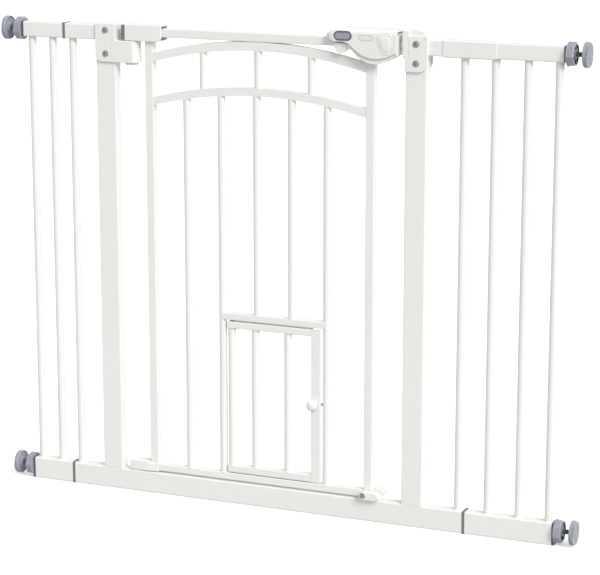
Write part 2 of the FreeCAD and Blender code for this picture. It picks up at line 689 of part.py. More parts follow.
# Four bracket screws: pan heads in front, shanks through into the posts.
screws = []
for tag, deep, places in (("left", bracket_deep, LEFT_SCREWS), ("right", keeper_deep, RIGHT_SCREWS)):
    for i, (x, z) in enumerate(places):
        b = body("screw_%s_%d" % (tag, i))
        s = sketch(b, "screw_profile_%s_%d" % (tag, i), "XZ_Plane")
        rr = screw_wide / 2
        face = -(deep / 2)
        reach = -half_deep + rail_wall + 4 - face
        outline(s, [(size(0), -reach), (screw_shank / 2 - 0.8, -reach),
                    (screw_shank / 2, -reach + 1), (screw_shank / 2, size(0)), (rr, size(0)),
                    (rr, size(0.9)), (rr - 0.5, size(1.5)), (rr - 1.6, size(2.0)),
                    (size(0), size(2.0))])
        r = b.newObject("PartDesign::Revolution", "screw_turned_%s_%d" % (tag, i))
        r.Profile = s
        r.ReferenceAxis = ([o for o in b.Origin.OriginFeatures if o.Role == "Z_Axis"][0], [""])
        r.Angle = 360
        doc.recompute()
        slot_one = box("screw_slot_a_%s_%d" % (tag, i), x - 2.4, x + 2.4, face - 3, face - 1.1,
                       z - 0.5, z + 0.5)
        slot_two = box("screw_slot_b_%s_%d" % (tag, i), x - 0.5, x + 0.5, face - 3, face - 1.1,
                       z - 2.4, z + 2.4)
        put(b, x, face, z, FACE)
        screws.append(cut("screw_cut_%s_%d" % (tag, i), b,
                          fuse("screw_slots_%s_%d" % (tag, i), [slot_one, slot_two])))
node(group("bracket_screws", screws), "bracket_screws")


# ---------------------------------------------------------------- door frame
# Square stiles, a straight top bar, a bottom rail, two arches, and round bars.
door_rail_high = door_foot + door_rail_tall
half_stile = stile_wide / 2
t = square_tube("door_left_stile", stile_wide, stile_wide, door_wall, door_bar_low - door_foot, 1.5)
node(put(t, stile_left + half_stile, 0, door_foot), "door_left_stile")
t = square_tube("right_stile_tube", stile_wide, stile_wide, door_wall, door_bar_low - door_foot, 1.5)
put(t, stile_right + half_stile, 0, door_foot)
hole = cylinder("right_stile_hole", stop_pin_wide / 2 + 0.06, 30, stop_x, -15, stop_z,
                Rotation(EX, -90))
node(cut("door_right_stile", t, hole), "door_right_stile")
top_bar_right = cell("top_bar_right", 168.0, "right end of the door top bar")
doc.recompute()
t = square_tube("door_top_bar", stile_wide, stile_wide, door_wall, top_bar_right - stile_left, 1.5)
node(put(t, stile_left, 0, door_bar_low + half_stile, TO_X), "door_top_bar")
t = square_tube("door_bottom_tube", cat_deep, door_rail_tall, door_wall,
                stile_right - stile_left - stile_wide, 1.5)
put(t, stile_left + stile_wide, 0, door_foot + door_rail_tall / 2, TO_X)
hole = cylinder("door_bottom_hole", cat_pin / 2 + cat_fit, 8, cat_hinge_x, 0, door_rail_high - 5)
node(cut("door_bottom_rail", t, hole), "door_bottom_rail")

door_mid = (stile_left + stile_wide + stile_right) / 2


def arch_ring(name, radius, tall, hollow):
    """Tube bent to a circle arc about a front-to-back axis below the crown."""
    b = body(name)
    s = sketch(b, name + "_section", "XZ_Plane")
    r0, r1 = radius - tall, radius
    d = arch_deep / 2
    outline(s, [(r0, -d), (r1, -d), (r1, d), (r0, d)])
    if hollow:
        w = door_wall
        outline(s, [(r0 + w, -d + w), (r1 - w, -d + w), (r1 - w, d - w), (r0 + w, d - w)])
    r = b.newObject("PartDesign::Revolution", name + "_bend")
    r.Profile = s
    r.ReferenceAxis = ([o for o in b.Origin.OriginFeatures if o.Role == "Z_Axis"][0], [""])
    r.Angle = 40
    doc.recompute()
    return b


def arch(name, top, tall, radius):
    spin = Rotation(EY, -20)
    turn = TO_Y
    tube = arch_ring(name + "_tube", radius, tall, True)
    tool = arch_ring(name + "_envelope", radius, tall, False)
    for o in (tube, tool):
        put(o, door_mid, 0, size(top) - radius, spin.multiply(turn))
    span = box(name + "_span", stile_left + stile_wide, stile_right, -arch_deep, arch_deep,
               size(top) - 80, size(top) + 20)
    node(common(name, tube, span), name)
    return tool


upper_tool = arch("door_upper_arch", arch_up_top, arch_up_tall, arch_up_radius)
lower_tool = arch("door_lower_arch", arch_low_top, arch_low_tall, arch_low_radius)


def crown(top, tall, radius, x):
    """Height of an arch's middle line at x, as a size bound to its radius."""
    x, mid = size(x), door_mid
    r = size(radius) - size(tall) / 2
    v = top.v - radius.v + math.sqrt(r.v ** 2 - (x.v - mid.v) ** 2)
    e = "(%s - %s + sqrt((%s)^2 - (%s - %s)^2))" % (top.e, radius.e, r.e, x.e, mid.e)
    return Size(v, e)


bar_x = [cell("door_bar_one", -163.0), cell("door_bar_two", -104.0), cell("door_bar_three", -44.2),
         cell("door_bar_four", 14.5), cell("door_bar_five", 73.4)]
short_x = [cell("short_bar_one", -134.0), cell("short_bar_two", -41.5), cell("short_bar_three", 47.0)]
doc.recompute()


def door_bar(name, x, z0):
    z1 = crown(arch_low_top, arch_low_tall, arch_low_radius, x)
    t = round_tube(name + "_tube", bar_wide, bar_wall, z1 - z0)
    put(t, x, 0, z0)
    return cut(name, t, lower_tool)


lintel_high = lintel_low + lintel_tall
node(group("door_left_bars", [door_bar("door_outer_bar", bar_x[0], door_rail_high),
                              door_bar("door_hinge_jamb_bar", bar_x[1], door_rail_high)]),
     "door_left_bars")
node(group("door_upper_bars", [door_bar("upper_bar_left", bar_x[2], lintel_high),
                               door_bar("upper_bar_right", bar_x[3], lintel_high)]),
     "door_upper_bars")
node(door_bar("door_latch_jamb_bar", bar_x[4], door_rail_high), "door_latch_jamb_bar")

shorts = []
for i, x in enumerate(short_x):
    z0 = crown(arch_low_top, arch_low_tall, arch_low_radius, x)
    z1 = crown(arch_up_top, arch_up_tall, arch_up_radius, x)
    t = round_tube("short_tube_%d" % (i + 1), bar_wide, bar_wall, z1 - z0)
    put(t, x, 0, z0)
    shorts.append(cut("short_bar_%d" % (i + 1),
                      cut("short_low_%d" % (i + 1), t, lower_tool), upper_tool))
node(group("door_short_bars", shorts), "door_short_bars")

# The lintel over the cat door is coped onto the two jamb bars.
t = square_tube("lintel_tube", cat_deep, lintel_tall, door_wall, bar_x[4] - bar_x[1], 1.5)
put(t, bar_x[1], 0, lintel_low + lintel_tall / 2, TO_X)
tools = [cylinder("lintel_cope_left", bar_wide / 2, 40, bar_x[1], 0, lintel_low - 10),
         cylinder("lintel_cope_right", bar_wide / 2, 40, bar_x[4], 0, lintel_low - 10),
         cylinder("lintel_pin_hole", cat_pin / 2 + cat_fit, 8, cat_hinge_x, 0, lintel_low - 3)]
node(cut("cat_door_lintel", t, fuse("lintel_cuts", tools)), "cat_door_lintel")

# Upper hinge block: sleeve over the end of the top bar, bored for the pin.
block_left = cell("block_left", -267.0)
block_right = cell("block_right", -201.0)
block_low = cell("block_low", 739.2)
block_high = cell("block_high", 765.0)
block_deep = cell("block_deep", 26.0)
doc.recompute()
b = body("upper_block_body")
s = sketch(b, "upper_block_face", "XZ_Plane")
outline(s, [(block_left, block_high), (block_left, block_low), (block_right - 4, block_low),
            (block_right, block_low + 5), (block_right, block_high)])
p = pad(b, s, block_deep, "upper_block_pad", both=True)
doc.recompute()
f1 = fillet(b, p, lambda e: along(e, EZ) and abs(e.Vertexes[0].Point.x - block_left.v) < 0.01, 4.0,
            "upper_block_end")
f2 = fillet(b, f1, lambda e: abs(abs(e.CenterOfMass.y) - block_deep.v / 2) < 0.01, 1.2,
            "upper_block_edges")
tools = [box("upper_block_bar_slot", stile_left, block_right + 5, -half_stile, half_stile,
             door_bar_low, door_bar_low + stile_wide),
         box("upper_block_foot_slot", stile_left, block_right + 5, -half_stile, half_stile,
             block_low - 5, door_bar_low),
         cylinder("upper_block_bore", hinge_pin / 2 + hinge_fit, 24.5, hinge_x, 0, block_low - 3)]
node(cut("upper_hinge_block", b, fuse("upper_block_cuts", tools)), "upper_hinge_block")

# Lower hinge block: foot of the door, bored for the lower pin.
low_block_left = cell("low_block_left", -269.0)
low_block_low = cell("low_block_low", 36.5)
low_block_high = cell("low_block_high", 52.0)
doc.recompute()
b = body("lower_block_body")
s = sketch(b, "lower_block_face", "XZ_Plane")
outline(s, [(low_block_left, low_block_high), (low_block_left, low_block_low),
            (stile_left, low_block_low), (stile_left, low_block_high)])
p = pad(b, s, size(24), "lower_block_pad", both=True)
doc.recompute()
f1 = fillet(b, p, lambda e: along(e, EZ) and abs(e.Vertexes[0].Point.x - low_block_left.v) < 0.01,
            6.0, "lower_block_end")
f2 = fillet(b, f1, lambda e: abs(e.CenterOfMass.z - low_block_high.v) < 0.01
            and e.CenterOfMass.x < stile_left.v - 0.1, 1.0, "lower_block_edges")
bore = cylinder("lower_block_bore", hinge_pin / 2 + hinge_fit, 13.0, hinge_x, 0, low_block_low - 0.5)
node(cut("lower_hinge_block", b, bore), "lower_hinge_block")


# ---------------------------------------------------------------- handle
# The base is fixed over the end of the top bar; the shell is the lever that
# the hand lifts; the bolt slides out of the bar end towards the keeper.
b = body("handle_base_body")
s = sketch(b, "base_face", "XZ_Plane")
outline(s, [(size(112.0), size(756.0)), (size(112.0), size(744.5)), (size(119.0), size(742.0)),
            (size(127.0), size(733.5)), (size(135.0), size(727.8)), (size(142.0), size(724.6)),
            (size(149.0), size(722.8)), (size(158.0), size(722.3)), (size(167.0), size(724.4)),
            (size(178.0), size(729.6)), (size(188.0), size(735.4)), (size(188.0), size(761.0)),
            (size(186.0), size(766.0)), (size(183.0), size(769.6)), (size(177.0), size(769.6)),
            (size(174.0), size(766.0)), (size(172.0), size(762.6)), (size(121.4), size(762.6)),
            (size(121.4), size(756.0))])
p = pad(b, s, base_deep, "base_pad", both=True)
doc.recompute()
f1 = fillet(b, p, lambda e: abs(abs(e.CenterOfMass.y) - base_deep.v / 2) < 0.01, 1.0, "base_edges")
tools = [box("base_bar_slot", size(105), top_bar_right, -half_stile, half_stile,
             door_bar_low, door_bar_low + stile_wide),
         box("base_bolt_slot", top_bar_right, size(195), -(bolt_side / 2) - 0.3,
             bolt_side / 2 + 0.3, door_bar_low + half_stile - bolt_side / 2 - 0.3,
             door_bar_low + half_stile + bolt_side / 2 + 0.3),
         box("base_stile_slot", stile_right, stile_right + stile_wide, -half_stile, half_stile,
             size(715), door_bar_low),
         cylinder("base_pivot_hole", lift_pin / 2, 60, lift_x, -30, lift_z, Rotation(EX, -90))]
node(cut("handle_base", b, fuse("base_cuts", tools)), "handle_base")

b = body("handle_shell_body")
s = sketch(b, "shell_face", "XZ_Plane")
outline(s, [(size(75.5), size(763.6)), (size(76.5), size(761.6)), (size(79.5), size(759.8)),
            (size(84.5), size(756.6)), (size(89.7), size(754.8)), (size(105.0), size(754.9)),
            (size(110.5), size(753.6)), (size(115.0), size(751.3)), (size(123.0), size(744.6)),
            (size(130.4), size(738.8)), (size(136.5), size(735.2)), (size(143.0), size(732.7)),
            (size(151.0), size(731.0)), (size(159.5), size(730.5)), (size(172.0), size(732.4)),
            (size(182.0), size(736.2)), (size(192.0), size(741.0)), (size(192.0), size(771.0)),
            (size(190.6), size(773.8)), (size(188.0), size(775.0)), (size(103.0), size(775.0)),
            (size(96.0), size(774.2)), (size(88.0), size(771.6)), (size(80.0), size(768.0)),
            (size(76.4), size(765.6))])
p = pad(b, s, shell_deep, "shell_pad", both=True)
doc.recompute()
f1 = fillet(b, p, lambda e: abs(abs(e.CenterOfMass.y) - shell_deep.v / 2) < 0.01
            and (e.CenterOfMass.z > 763 and e.CenterOfMass.x < 191), 2.2, "shell_edges")
ci = shell_inside / 2
cav = body("shell_cavity")
s = sketch(cav, "cavity_face", "XZ_Plane")
outline(s, [(size(70), size(715)), (size(70), size(761.4)), (size(92), size(761.4)),
            (size(101), size(772.0)), (size(200), size(772.0)), (size(200), size(715))])
pad(cav, s, shell_inside, "cavity_pad", both=True)
doc.recompute()
button_x0 = cell("button_x0", 92.0)
button_x1 = cell("button_x1", 120.0)
button_z = cell("button_z", 763.8)
button_tall = cell("button_tall", 13.6)
doc.recompute()


def pill(name, x0, x1, z, tall, y0, y1):
    """Rounded-end plate standing front to back."""
    r = size(tall) / 2
    m = box(name + "_mid", x0 + r, x1 - r, y0, y1, z - r, z + r)
    a = cylinder(name + "_a", r, size(y1) - y0, x0 + r, y0, z, Rotation(EX, -90))
    c = cylinder(name + "_b", r, size(y1) - y0, x1 - r, y0, z, Rotation(EX, -90))
    return fuse(name, [m, a, c])


hole = pill("button_hole", button_x0 - 0.35, button_x1 + 0.35, button_z, button_tall + 0.7,
            size(-26), size(-14))
pivot = cylinder("shell_pivot_hole", lift_pin / 2 + 0.06, 44.4, lift_x, -22.2, lift_z,
                 Rotation(EX, -90))
node(cut("handle_shell", b, fuse("shell_cuts", [cav, hole, pivot])), "handle_shell")
node(cylinder("handle_pivot_pin", lift_pin / 2, 43.6, lift_x, -21.8, lift_z, Rotation(EX, -90)),
     "handle_pivot_pin")

# The grey lock button in the shell's front, with a lip that keeps it in.
face = pill("button_face", button_x0, button_x1, button_z, button_tall, size(-24.6), size(-17.0))
node(face, "lock_button")

# Raised thumb pads, front and back, on the right of the shell.
pads = []
for tag, y0 in (("front", size(-24.8)), ("rear", size(23.0))):
    b = body("thumb_pad_" + tag)
    s = sketch(b, "thumb_face_" + tag, "XZ_Plane")
    outline(s, [(size(161.0), size(774.0)), (size(161.0), size(748.0)), (size(162.6), size(743.0)),
                (size(165.6), size(739.4)), (size(169.6), size(737.2)), (size(173.5), size(736.5)),
                (size(177.4), size(737.4)), (size(181.4), size(739.8)), (size(184.4), size(743.4)),
                (size(186.0), size(748.0)), (size(186.0), size(774.0))])
    p = pad(b, s, size(1.8), "thumb_pad_pad_" + tag)
    doc.recompute()
    out = min(v.Point.y for v in p.Shape.Vertexes)
    put(b, 0, y0 - out, 0)
    pads.append(b)
node(group("thumb_pads", pads), "thumb_pads")

# Release trigger: a finger piece under the left end of the shell, in front of
# the top bar.
b = body("release_trigger")
s = sketch(b, "trigger_face", "XZ_Plane")
outline(s, [(size(90.0), size(752.0)), (size(90.0), size(743.0)), (size(93.0), size(738.6)),
            (size(98.0), size(736.2)), (size(104.0), size(736.6)), (size(109.0), size(740.0)),
            (size(111.0), size(745.0)), (size(111.0), size(752.0))])
p = pad(b, s, size(9), "trigger_pad")
doc.recompute()
fillet(b, p, lambda e: e.CenterOfMass.z < 751, 1.0, "trigger_edges")
out = min(v.Point.y for v in p.Shape.Vertexes)
node(put(b, 0, size(-17.5) - out, 0), "release_trigger")

# Latch bolt: slides in the end of the top bar.
bolt_tip = cell("bolt_tip", 197.5)
doc.recompute()
b = body("latch_bolt")
s = sketch(b, "bolt_section")
rectangle(s, bolt_side, bolt_side)
p = pad(b, s, size(57.5), "bolt_pad")
doc.recompute()
c = b.newObject("PartDesign::Chamfer", "bolt_nose")
c.Base = (p, edges_of(p.Shape, lambda e: abs(e.CenterOfMass.z - 57.5) < 0.01))
c.Size = 1.5
doc.recompute()
node(put(b, bolt_tip - 57.5, 0, door_bar_low + half_stile, TO_X), "latch_bolt")


# ---------------------------------------------------------------- stop fork
# Two arms, one each side of the right stile's foot, on a pin through the foot.
arms = []
for tag, y0 in (("front", size(-19.0)), ("rear", size(9.0))):
    b = body("stop_arm_body_" + tag)
    s = sketch(b, "arm_face_" + tag, "XZ_Plane")
    outline(s, [(stop_x - 4.6, stop_z - 4.6), (stop_x - 1.5, size(36.4)), (stop_x + 22.0, size(36.4)),
                (stop_x + 26.2, size(38.8)), (stop_x + 27.0, size(42.5)), (stop_x + 24.6, size(48.0)),
                (stop_x + 19.0, size(50.4)), (stop_x + 1.0, stop_z + 6.6), (stop_x - 4.0, stop_z + 5.0),
                (stop_x - 6.6, stop_z + 0.4)])
    p = pad(b, s, size(10), "arm_pad_" + tag)
    doc.recompute()
    f = fillet(b, p, lambda e: not along(e, EY), 1.2, "arm_edges_" + tag)
    out = min(v.Point.y for v in p.Shape.Vertexes)
    put(b, 0, y0 - out, 0)
    hole = cylinder("arm_hole_" + tag, stop_pin_wide / 2, 14, stop_x, y0 - 2, stop_z,
                    Rotation(EX, -90))
    arms.append(cut("stop_arm_" + tag, b, hole))
node(group("stop_arms", arms), "stop_arms")
shank = cylinder("stop_pin_shank", stop_pin_wide / 2, 38, stop_x, -19, stop_z, Rotation(EX, -90))
heads = [cylinder("stop_pin_head_front", size(4.25), 1.6, stop_x, -20.6, stop_z, Rotation(EX, -90)),
         cylinder("stop_pin_head_rear", size(4.25), 1.6, stop_x, 19.0, stop_z, Rotation(EX, -90))]
node(fuse("stop_pin", [shank] + heads), "stop_pin")


# ---------------------------------------------------------------- cat door
def cat_rail(name, z0, tall, hole_from):
    t = square_tube(name + "_tube", cat_deep, tall, door_wall, cat_stile_left - cat_left, 1.5)
    put(t, cat_left, 0, size(z0) + size(tall) / 2, TO_X)
    hole = cylinder(name + "_hole", cat_pin / 2, 30, cat_hinge_x, 0, size(z0) - 5)
    return node(cut(name, t, hole), name)


cat_rail("cat_door_bottom_rail", cat_low, cat_rail_tall, 0)
cat_rail("cat_door_top_rail", cat_high - cat_top_tall, cat_top_tall, 0)
cat_rail_high = cat_low + cat_rail_tall
cat_top_low = cat_high - cat_top_tall
cat_bars = []
for i, x in enumerate([cat_hinge_x, cell("cat_bar_one", -47.8), cell("cat_bar_two", 7.8)]):
    t = round_tube("cat_bar_%d" % (i + 1), bar_wide, bar_wall, cat_top_low - cat_rail_high)
    cat_bars.append(put(t, x, 0, cat_rail_high))
node(group("cat_door_bars", cat_bars), "cat_door_bars")
pins = [cylinder("cat_pin_low", cat_pin / 2, 16.5, cat_hinge_x, 0, cat_low - 4.5),
        cylinder("cat_pin_high", cat_pin / 2, 16.0, cat_hinge_x, 0, cat_high - 11.0)]
node(group("cat_door_pivot_pins", pins), "cat_door_pivot_pins")

# Flat latch stile with a slot for the knob's stem.
stem_wide = cell("stem_wide", 4.0)
latch_travel = cell("latch_travel", 4.5)
doc.recompute()
b = body("cat_stile_body")
s = sketch(b, "cat_stile_section")
rectangle(s, cat_stile_wide, cat_stile_thick)
p = pad(b, s, cat_high - cat_low, "cat_stile_pad")
fillet(b, p, lambda e: along(e, EZ), 1.0, "cat_stile_corners")
put(b, cat_stile_left + cat_stile_wide / 2, cat_stile_front + cat_stile_thick / 2, cat_low)
slot = pill("cat_stile_slot", cat_knob_x - latch_travel - stem_wide / 2 - 0.3,
            cat_knob_x + stem_wide / 2 + 0.3, cat_latch_up, stem_wide + 0.6, size(-8), size(0))
node(cut("cat_door_latch_stile", b, slot), "cat_door_latch_stile")

# Knob with its stem through the slot, and the bolt behind the stile.
knob_y = cat_stile_front - 0.4
cat_knob_offset = cell("cat_knob_offset", 5.2, "knob head centre, left of its stem")
b = body("cat_knob_head")
s = sketch(b, "knob_profile", "XZ_Plane")
kr = cat_knob_wide / 2
outline(s, [(size(0), size(0)),
            (kr - 0.4, size(0)), (kr, size(0.6)), (kr, size(3.2)), (kr - 0.6, size(5.2)),
            (kr - 2.0, size(7.0)), (kr - 4.2, size(8.4)), (kr - 6.6, size(9.1)),
            (size(0), size(9.4))])
r = b.newObject("PartDesign::Revolution", "knob_turned")
r.Profile = s
r.ReferenceAxis = ([o for o in b.Origin.OriginFeatures if o.Role == "Z_Axis"][0], [""])
r.Angle = 360
doc.recompute()
head = put(b, cat_knob_x - cat_knob_offset, knob_y, cat_latch_up, FACE)
stem = cylinder("cat_knob_stem", stem_wide / 2, 6.5, cat_knob_x, knob_y - 1.0, cat_latch_up,
                Rotation(EX, -90))
node(fuse("cat_latch_knob", [head, stem]), "cat_latch_knob")
bolt_low = cell("cat_bolt_start", 50.5)
bolt_end = cell("cat_bolt_end", 66.6)
doc.recompute()
bolt = cylinder("cat_bolt_rod", size(2.5), bolt_end - bolt_low, bolt_low, 1.6, cat_latch_up, TO_X)
trim = cylinder("cat_bolt_stem_seat", stem_wide / 2, 6.5, cat_knob_x, -5.6, cat_latch_up,
                Rotation(EX, -90))
node(cut("cat_latch_bolt", bolt, trim), "cat_latch_bolt")


# ---------------------------------------------------------------- check and write
doc.recompute()
bad = [(o.Name, o.State) for o in doc.Objects if "Invalid" in o.State or "Error" in o.State]
if bad:
    raise SystemExit("failed objects: %r" % bad)
os.makedirs("parts", exist_ok=True)
names = [o.Label for o in PARTS]
assert len(names) == len(set(names)) and len(names) <= 60, len(names)
for o in PARTS:
    shape = o.Shape
    if shape.isNull() or not shape.isValid() or not shape.Solids:
        raise SystemExit("bad shape: " + o.Label)
for o in PARTS:
    o.Shape.exportStep(os.path.join("parts", o.Label + ".step"))
total = Part.makeCompound([o.Shape for o in PARTS]).BoundBox
print("nodes", len(PARTS), "solids", sum(len(o.Shape.Solids) for o in PARTS))
print("box", [round(v, 2) for v in (total.XMin, total.XMax, total.YMin, total.YMax,
                                    total.ZMin, total.ZMax)])
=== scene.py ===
import json
import math

import bmesh
import bpy
from mathutils import Matrix, Vector, noise


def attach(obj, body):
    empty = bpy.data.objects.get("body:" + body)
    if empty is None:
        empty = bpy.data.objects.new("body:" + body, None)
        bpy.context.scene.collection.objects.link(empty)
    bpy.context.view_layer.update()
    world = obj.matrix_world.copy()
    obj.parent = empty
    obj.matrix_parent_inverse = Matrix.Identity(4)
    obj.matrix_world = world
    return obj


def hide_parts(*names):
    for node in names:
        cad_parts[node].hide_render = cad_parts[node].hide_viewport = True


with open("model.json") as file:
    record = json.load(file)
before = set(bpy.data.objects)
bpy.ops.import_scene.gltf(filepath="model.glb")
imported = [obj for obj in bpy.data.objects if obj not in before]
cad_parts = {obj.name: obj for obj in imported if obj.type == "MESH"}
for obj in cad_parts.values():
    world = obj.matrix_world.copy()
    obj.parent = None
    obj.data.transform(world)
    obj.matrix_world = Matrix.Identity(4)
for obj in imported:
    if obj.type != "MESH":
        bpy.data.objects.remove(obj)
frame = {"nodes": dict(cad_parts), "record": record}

# Pet gate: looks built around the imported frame. Metres in Blender; the shapes
# below are written in millimetres in the same frame and scaled once.
scene = bpy.context.scene
MM = 0.001
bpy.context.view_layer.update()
PI = math.pi


# ------------------------------------------------------------------ materials
def tree(name):
    m = bpy.data.materials.new(name)
    m.use_nodes = True
    m.node_tree.nodes.clear()
    return m, m.node_tree.nodes, m.node_tree.links


def noise_node(nodes, links, coords, scale, detail=3.0, rough=0.5, warp=0.0):
    n = nodes.new("ShaderNodeTexNoise")
    n.inputs["Scale"].default_value = scale
    n.inputs["Detail"].default_value = detail
    n.inputs["Roughness"].default_value = rough
    n.inputs["Distortion"].default_value = warp
    links.new(coords, n.inputs["Vector"])
    return n


def ramp(nodes, links, fac, stops):
    r = nodes.new("ShaderNodeValToRGB")
    els = r.color_ramp.elements
    while len(els) < len(stops):
        els.new(0.5)
    for e, (p, c) in zip(els, stops):
        e.position = p
        e.color = c if len(c) == 4 else (*c, 1)
    links.new(fac, r.inputs["Fac"])
    return r


def mapped(nodes, links, fac, a, b, lo=0.0, hi=1.0):
    m = nodes.new("ShaderNodeMapRange")
    m.inputs["From Min"].default_value = lo
    m.inputs["From Max"].default_value = hi
    m.inputs["To Min"].default_value = a
    m.inputs["To Max"].default_value = b
    links.new(fac, m.inputs["Value"])
    return m.outputs["Result"]


def blend(nodes, links, fac, a, b, kind="MIX"):
    m = nodes.new("ShaderNodeMix")
    m.data_type = "RGBA"
    m.blend_type = kind
    for sock, v in (("A", a), ("B", b)):
        s = [i for i in m.inputs if i.name == sock and i.type == "RGBA"][0]
        if isinstance(v, (tuple, list)):
            s.default_value = (*v, 1)
        else:
            links.new(v, s)
    f = [i for i in m.inputs if i.name == "Factor" and i.type == "VALUE"][0]
    if isinstance(fac, (int, float)):
        f.default_value = fac
    else:
        links.new(fac, f)
    return [o for o in m.outputs if o.type == "RGBA"][0]


def coated(name, base, tint, dirt, rough, fine, fine_depth, broad, broad_depth,
           metallic=0.0, coat=0.0, specular=0.5, speck=0.0, grain=(1, 1, 1)):
    """A finish with broad colour drift, a fine surface grain, rubbed and dusty areas."""
    m, nodes, links = tree(name)
    out = nodes.new("ShaderNodeOutputMaterial")
    b = nodes.new("ShaderNodeBsdfPrincipled")
    links.new(b.outputs["BSDF"], out.inputs["Surface"])
    tc = nodes.new("ShaderNodeTexCoord")
    mp = nodes.new("ShaderNodeMapping")
    mp.inputs["Scale"].default_value = grain
    links.new(tc.outputs["Object"], mp.inputs["Vector"])
    vec, stretched = tc.outputs["Object"], mp.outputs["Vector"]
    drift = noise_node(nodes, links, vec, 7.0, 4.0, 0.55)
    mottle = noise_node(nodes, links, vec, 95.0, 4.0, 0.6, 0.3)
    grit = noise_node(nodes, links, stretched, fine, 2.0, 0.55)
    wide = noise_node(nodes, links, vec, broad, 2.0, 0.5)
    col = blend(nodes, links, mapped(nodes, links, drift.outputs["Fac"], 0.0, 1.0, 0.32, 0.68),
                base, tint)
    dusty = ramp(nodes, links, mottle.outputs["Fac"], [(0.50, (0, 0, 0)), (0.78, (1, 1, 1))])
    col = blend(nodes, links, mapped(nodes, links, dusty.outputs["Color"], 0.0, 0.16), col, dirt)
    if speck:
        dots = ramp(nodes, links, grit.outputs["Fac"], [(0.60, (0, 0, 0)), (0.74, (1, 1, 1))])
        col = blend(nodes, links, mapped(nodes, links, dots.outputs["Color"], 0.0, speck), col, dirt)
    links.new(col, b.inputs["Base Color"])
    r = nodes.new("ShaderNodeMath")
    r.operation = "ADD"
    links.new(mapped(nodes, links, mottle.outputs["Fac"], rough - 0.05, rough + 0.07), r.inputs[0])
    links.new(mapped(nodes, links, grit.outputs["Fac"], -0.05, 0.05), r.inputs[1])
    links.new(r.outputs["Value"], b.inputs["Roughness"])
    bump1 = nodes.new("ShaderNodeBump")
    bump1.inputs["Strength"].default_value = 1.0
    bump1.inputs["Distance"].default_value = broad_depth
    links.new(wide.outputs["Fac"], bump1.inputs["Height"])
    bump2 = nodes.new("ShaderNodeBump")
    bump2.inputs["Strength"].default_value = 1.0
    bump2.inputs["Distance"].default_value = fine_depth
    links.new(grit.outputs["Fac"], bump2.inputs["Height"])
    links.new(bump1.outputs["Normal"], bump2.inputs["Normal"])
    links.new(bump2.outputs["Normal"], b.inputs["Normal"])
    b.inputs["Metallic"].default_value = metallic
    b.inputs["Specular IOR Level"].default_value = specular
    b.inputs["Coat Weight"].default_value = coat
    b.inputs["Coat Roughness"].default_value = 0.22
    return m


MATS = {
    # powder coat: warm white with a fine orange-peel skin
    "white_steel": coated("powder_coat_white", (0.865, 0.858, 0.838), (0.845, 0.838, 0.815),
                          (0.74, 0.725, 0.69), 0.36, 1500.0, 0.000020, 260.0, 0.000055,
                          coat=0.12, specular=0.45),
    # moulded plastic: a little cooler, spark-eroded texture
    "white_plastic": coated("moulded_white", (0.872, 0.867, 0.850), (0.85, 0.845, 0.826),
                            (0.76, 0.75, 0.72), 0.44, 2600.0, 0.000026, 120.0, 0.00003,
                            specular=0.42, speck=0.04),
    "grey_plastic": coated("moulded_grey", (0.335, 0.345, 0.405), (0.300, 0.310, 0.368),
                           (0.43, 0.44, 0.49), 0.42, 2200.0, 0.00004, 150.0, 0.00004,
                           specular=0.5, speck=0.10, coat=0.1),
    # dark grey plastic; on the hand nuts it also serves as painted shade in the hollows between the ribs
    "dark_plastic": coated("moulded_dark_grey_and_painted_shade", (0.120, 0.126, 0.145), (0.098, 0.104, 0.122),
                           (0.20, 0.205, 0.22), 0.50, 2200.0, 0.00004, 150.0, 0.00004,
                           specular=0.35, speck=0.08),
    "grey_rubber": coated("wall_pad_rubber", (0.375, 0.382, 0.440), (0.335, 0.342, 0.398),
                          (0.44, 0.445, 0.48), 0.64, 1700.0, 0.00006, 170.0, 0.00007,
                          specular=0.28, speck=0.16),
    "dark_steel": coated("oiled_steel", (0.175, 0.180, 0.195), (0.125, 0.128, 0.14),
                         (0.30, 0.295, 0.285), 0.42, 1800.0, 0.00002, 300.0, 0.00003,
                         metallic=0.55, specular=0.5, speck=0.20, grain=(0.2, 1, 1)),
    "plated_steel": coated("zinc_plated_steel", (0.335, 0.332, 0.325), (0.27, 0.27, 0.268),
                           (0.20, 0.195, 0.185), 0.44, 1500.0, 0.00002, 220.0, 0.00003,
                           metallic=0.60, specular=0.5, speck=0.18, grain=(1, 1, 0.25)),
}
BRIGHT = coated("bright_zinc", (0.66, 0.655, 0.645), (0.58, 0.578, 0.57), (0.40, 0.39, 0.375),
                0.36, 1500.0, 0.00002, 220.0, 0.00003, metallic=0.45, specular=0.5, speck=0.12, grain=(0.25, 1, 1))
# painted light on the wall pads' toothed band: the ridges are painted lighter as a highlight, the cuts between them
# darker as shade
PAD_RIDGE_PAINTED_HIGHLIGHT = coated("pad_ridge_painted_highlight", (0.52, 0.535, 0.585), (0.48, 0.495, 0.545), (0.66, 0.665, 0.69),
               0.60, 1700.0, 0.00006, 170.0, 0.00007, specular=0.3, speck=0.12)
PAD_CUT_PAINTED_SHADE = coated("pad_cut_painted_shade", (0.175, 0.18, 0.21), (0.15, 0.155, 0.185), (0.25, 0.255, 0.28),
                0.70, 1700.0, 0.00006, 170.0, 0.00007, specular=0.25, speck=0.12)
# painted shade: dark grey for pieces that stand in for the shade in gaps and open ends
DARK_GAP_PAINTED_SHADE = coated("dark_gap_painted_shade", (0.20, 0.205, 0.225), (0.17, 0.175, 0.195), (0.30, 0.30, 0.32),
              0.6, 2000.0, 0.00004, 150.0, 0.00004, specular=0.3, speck=0.1)
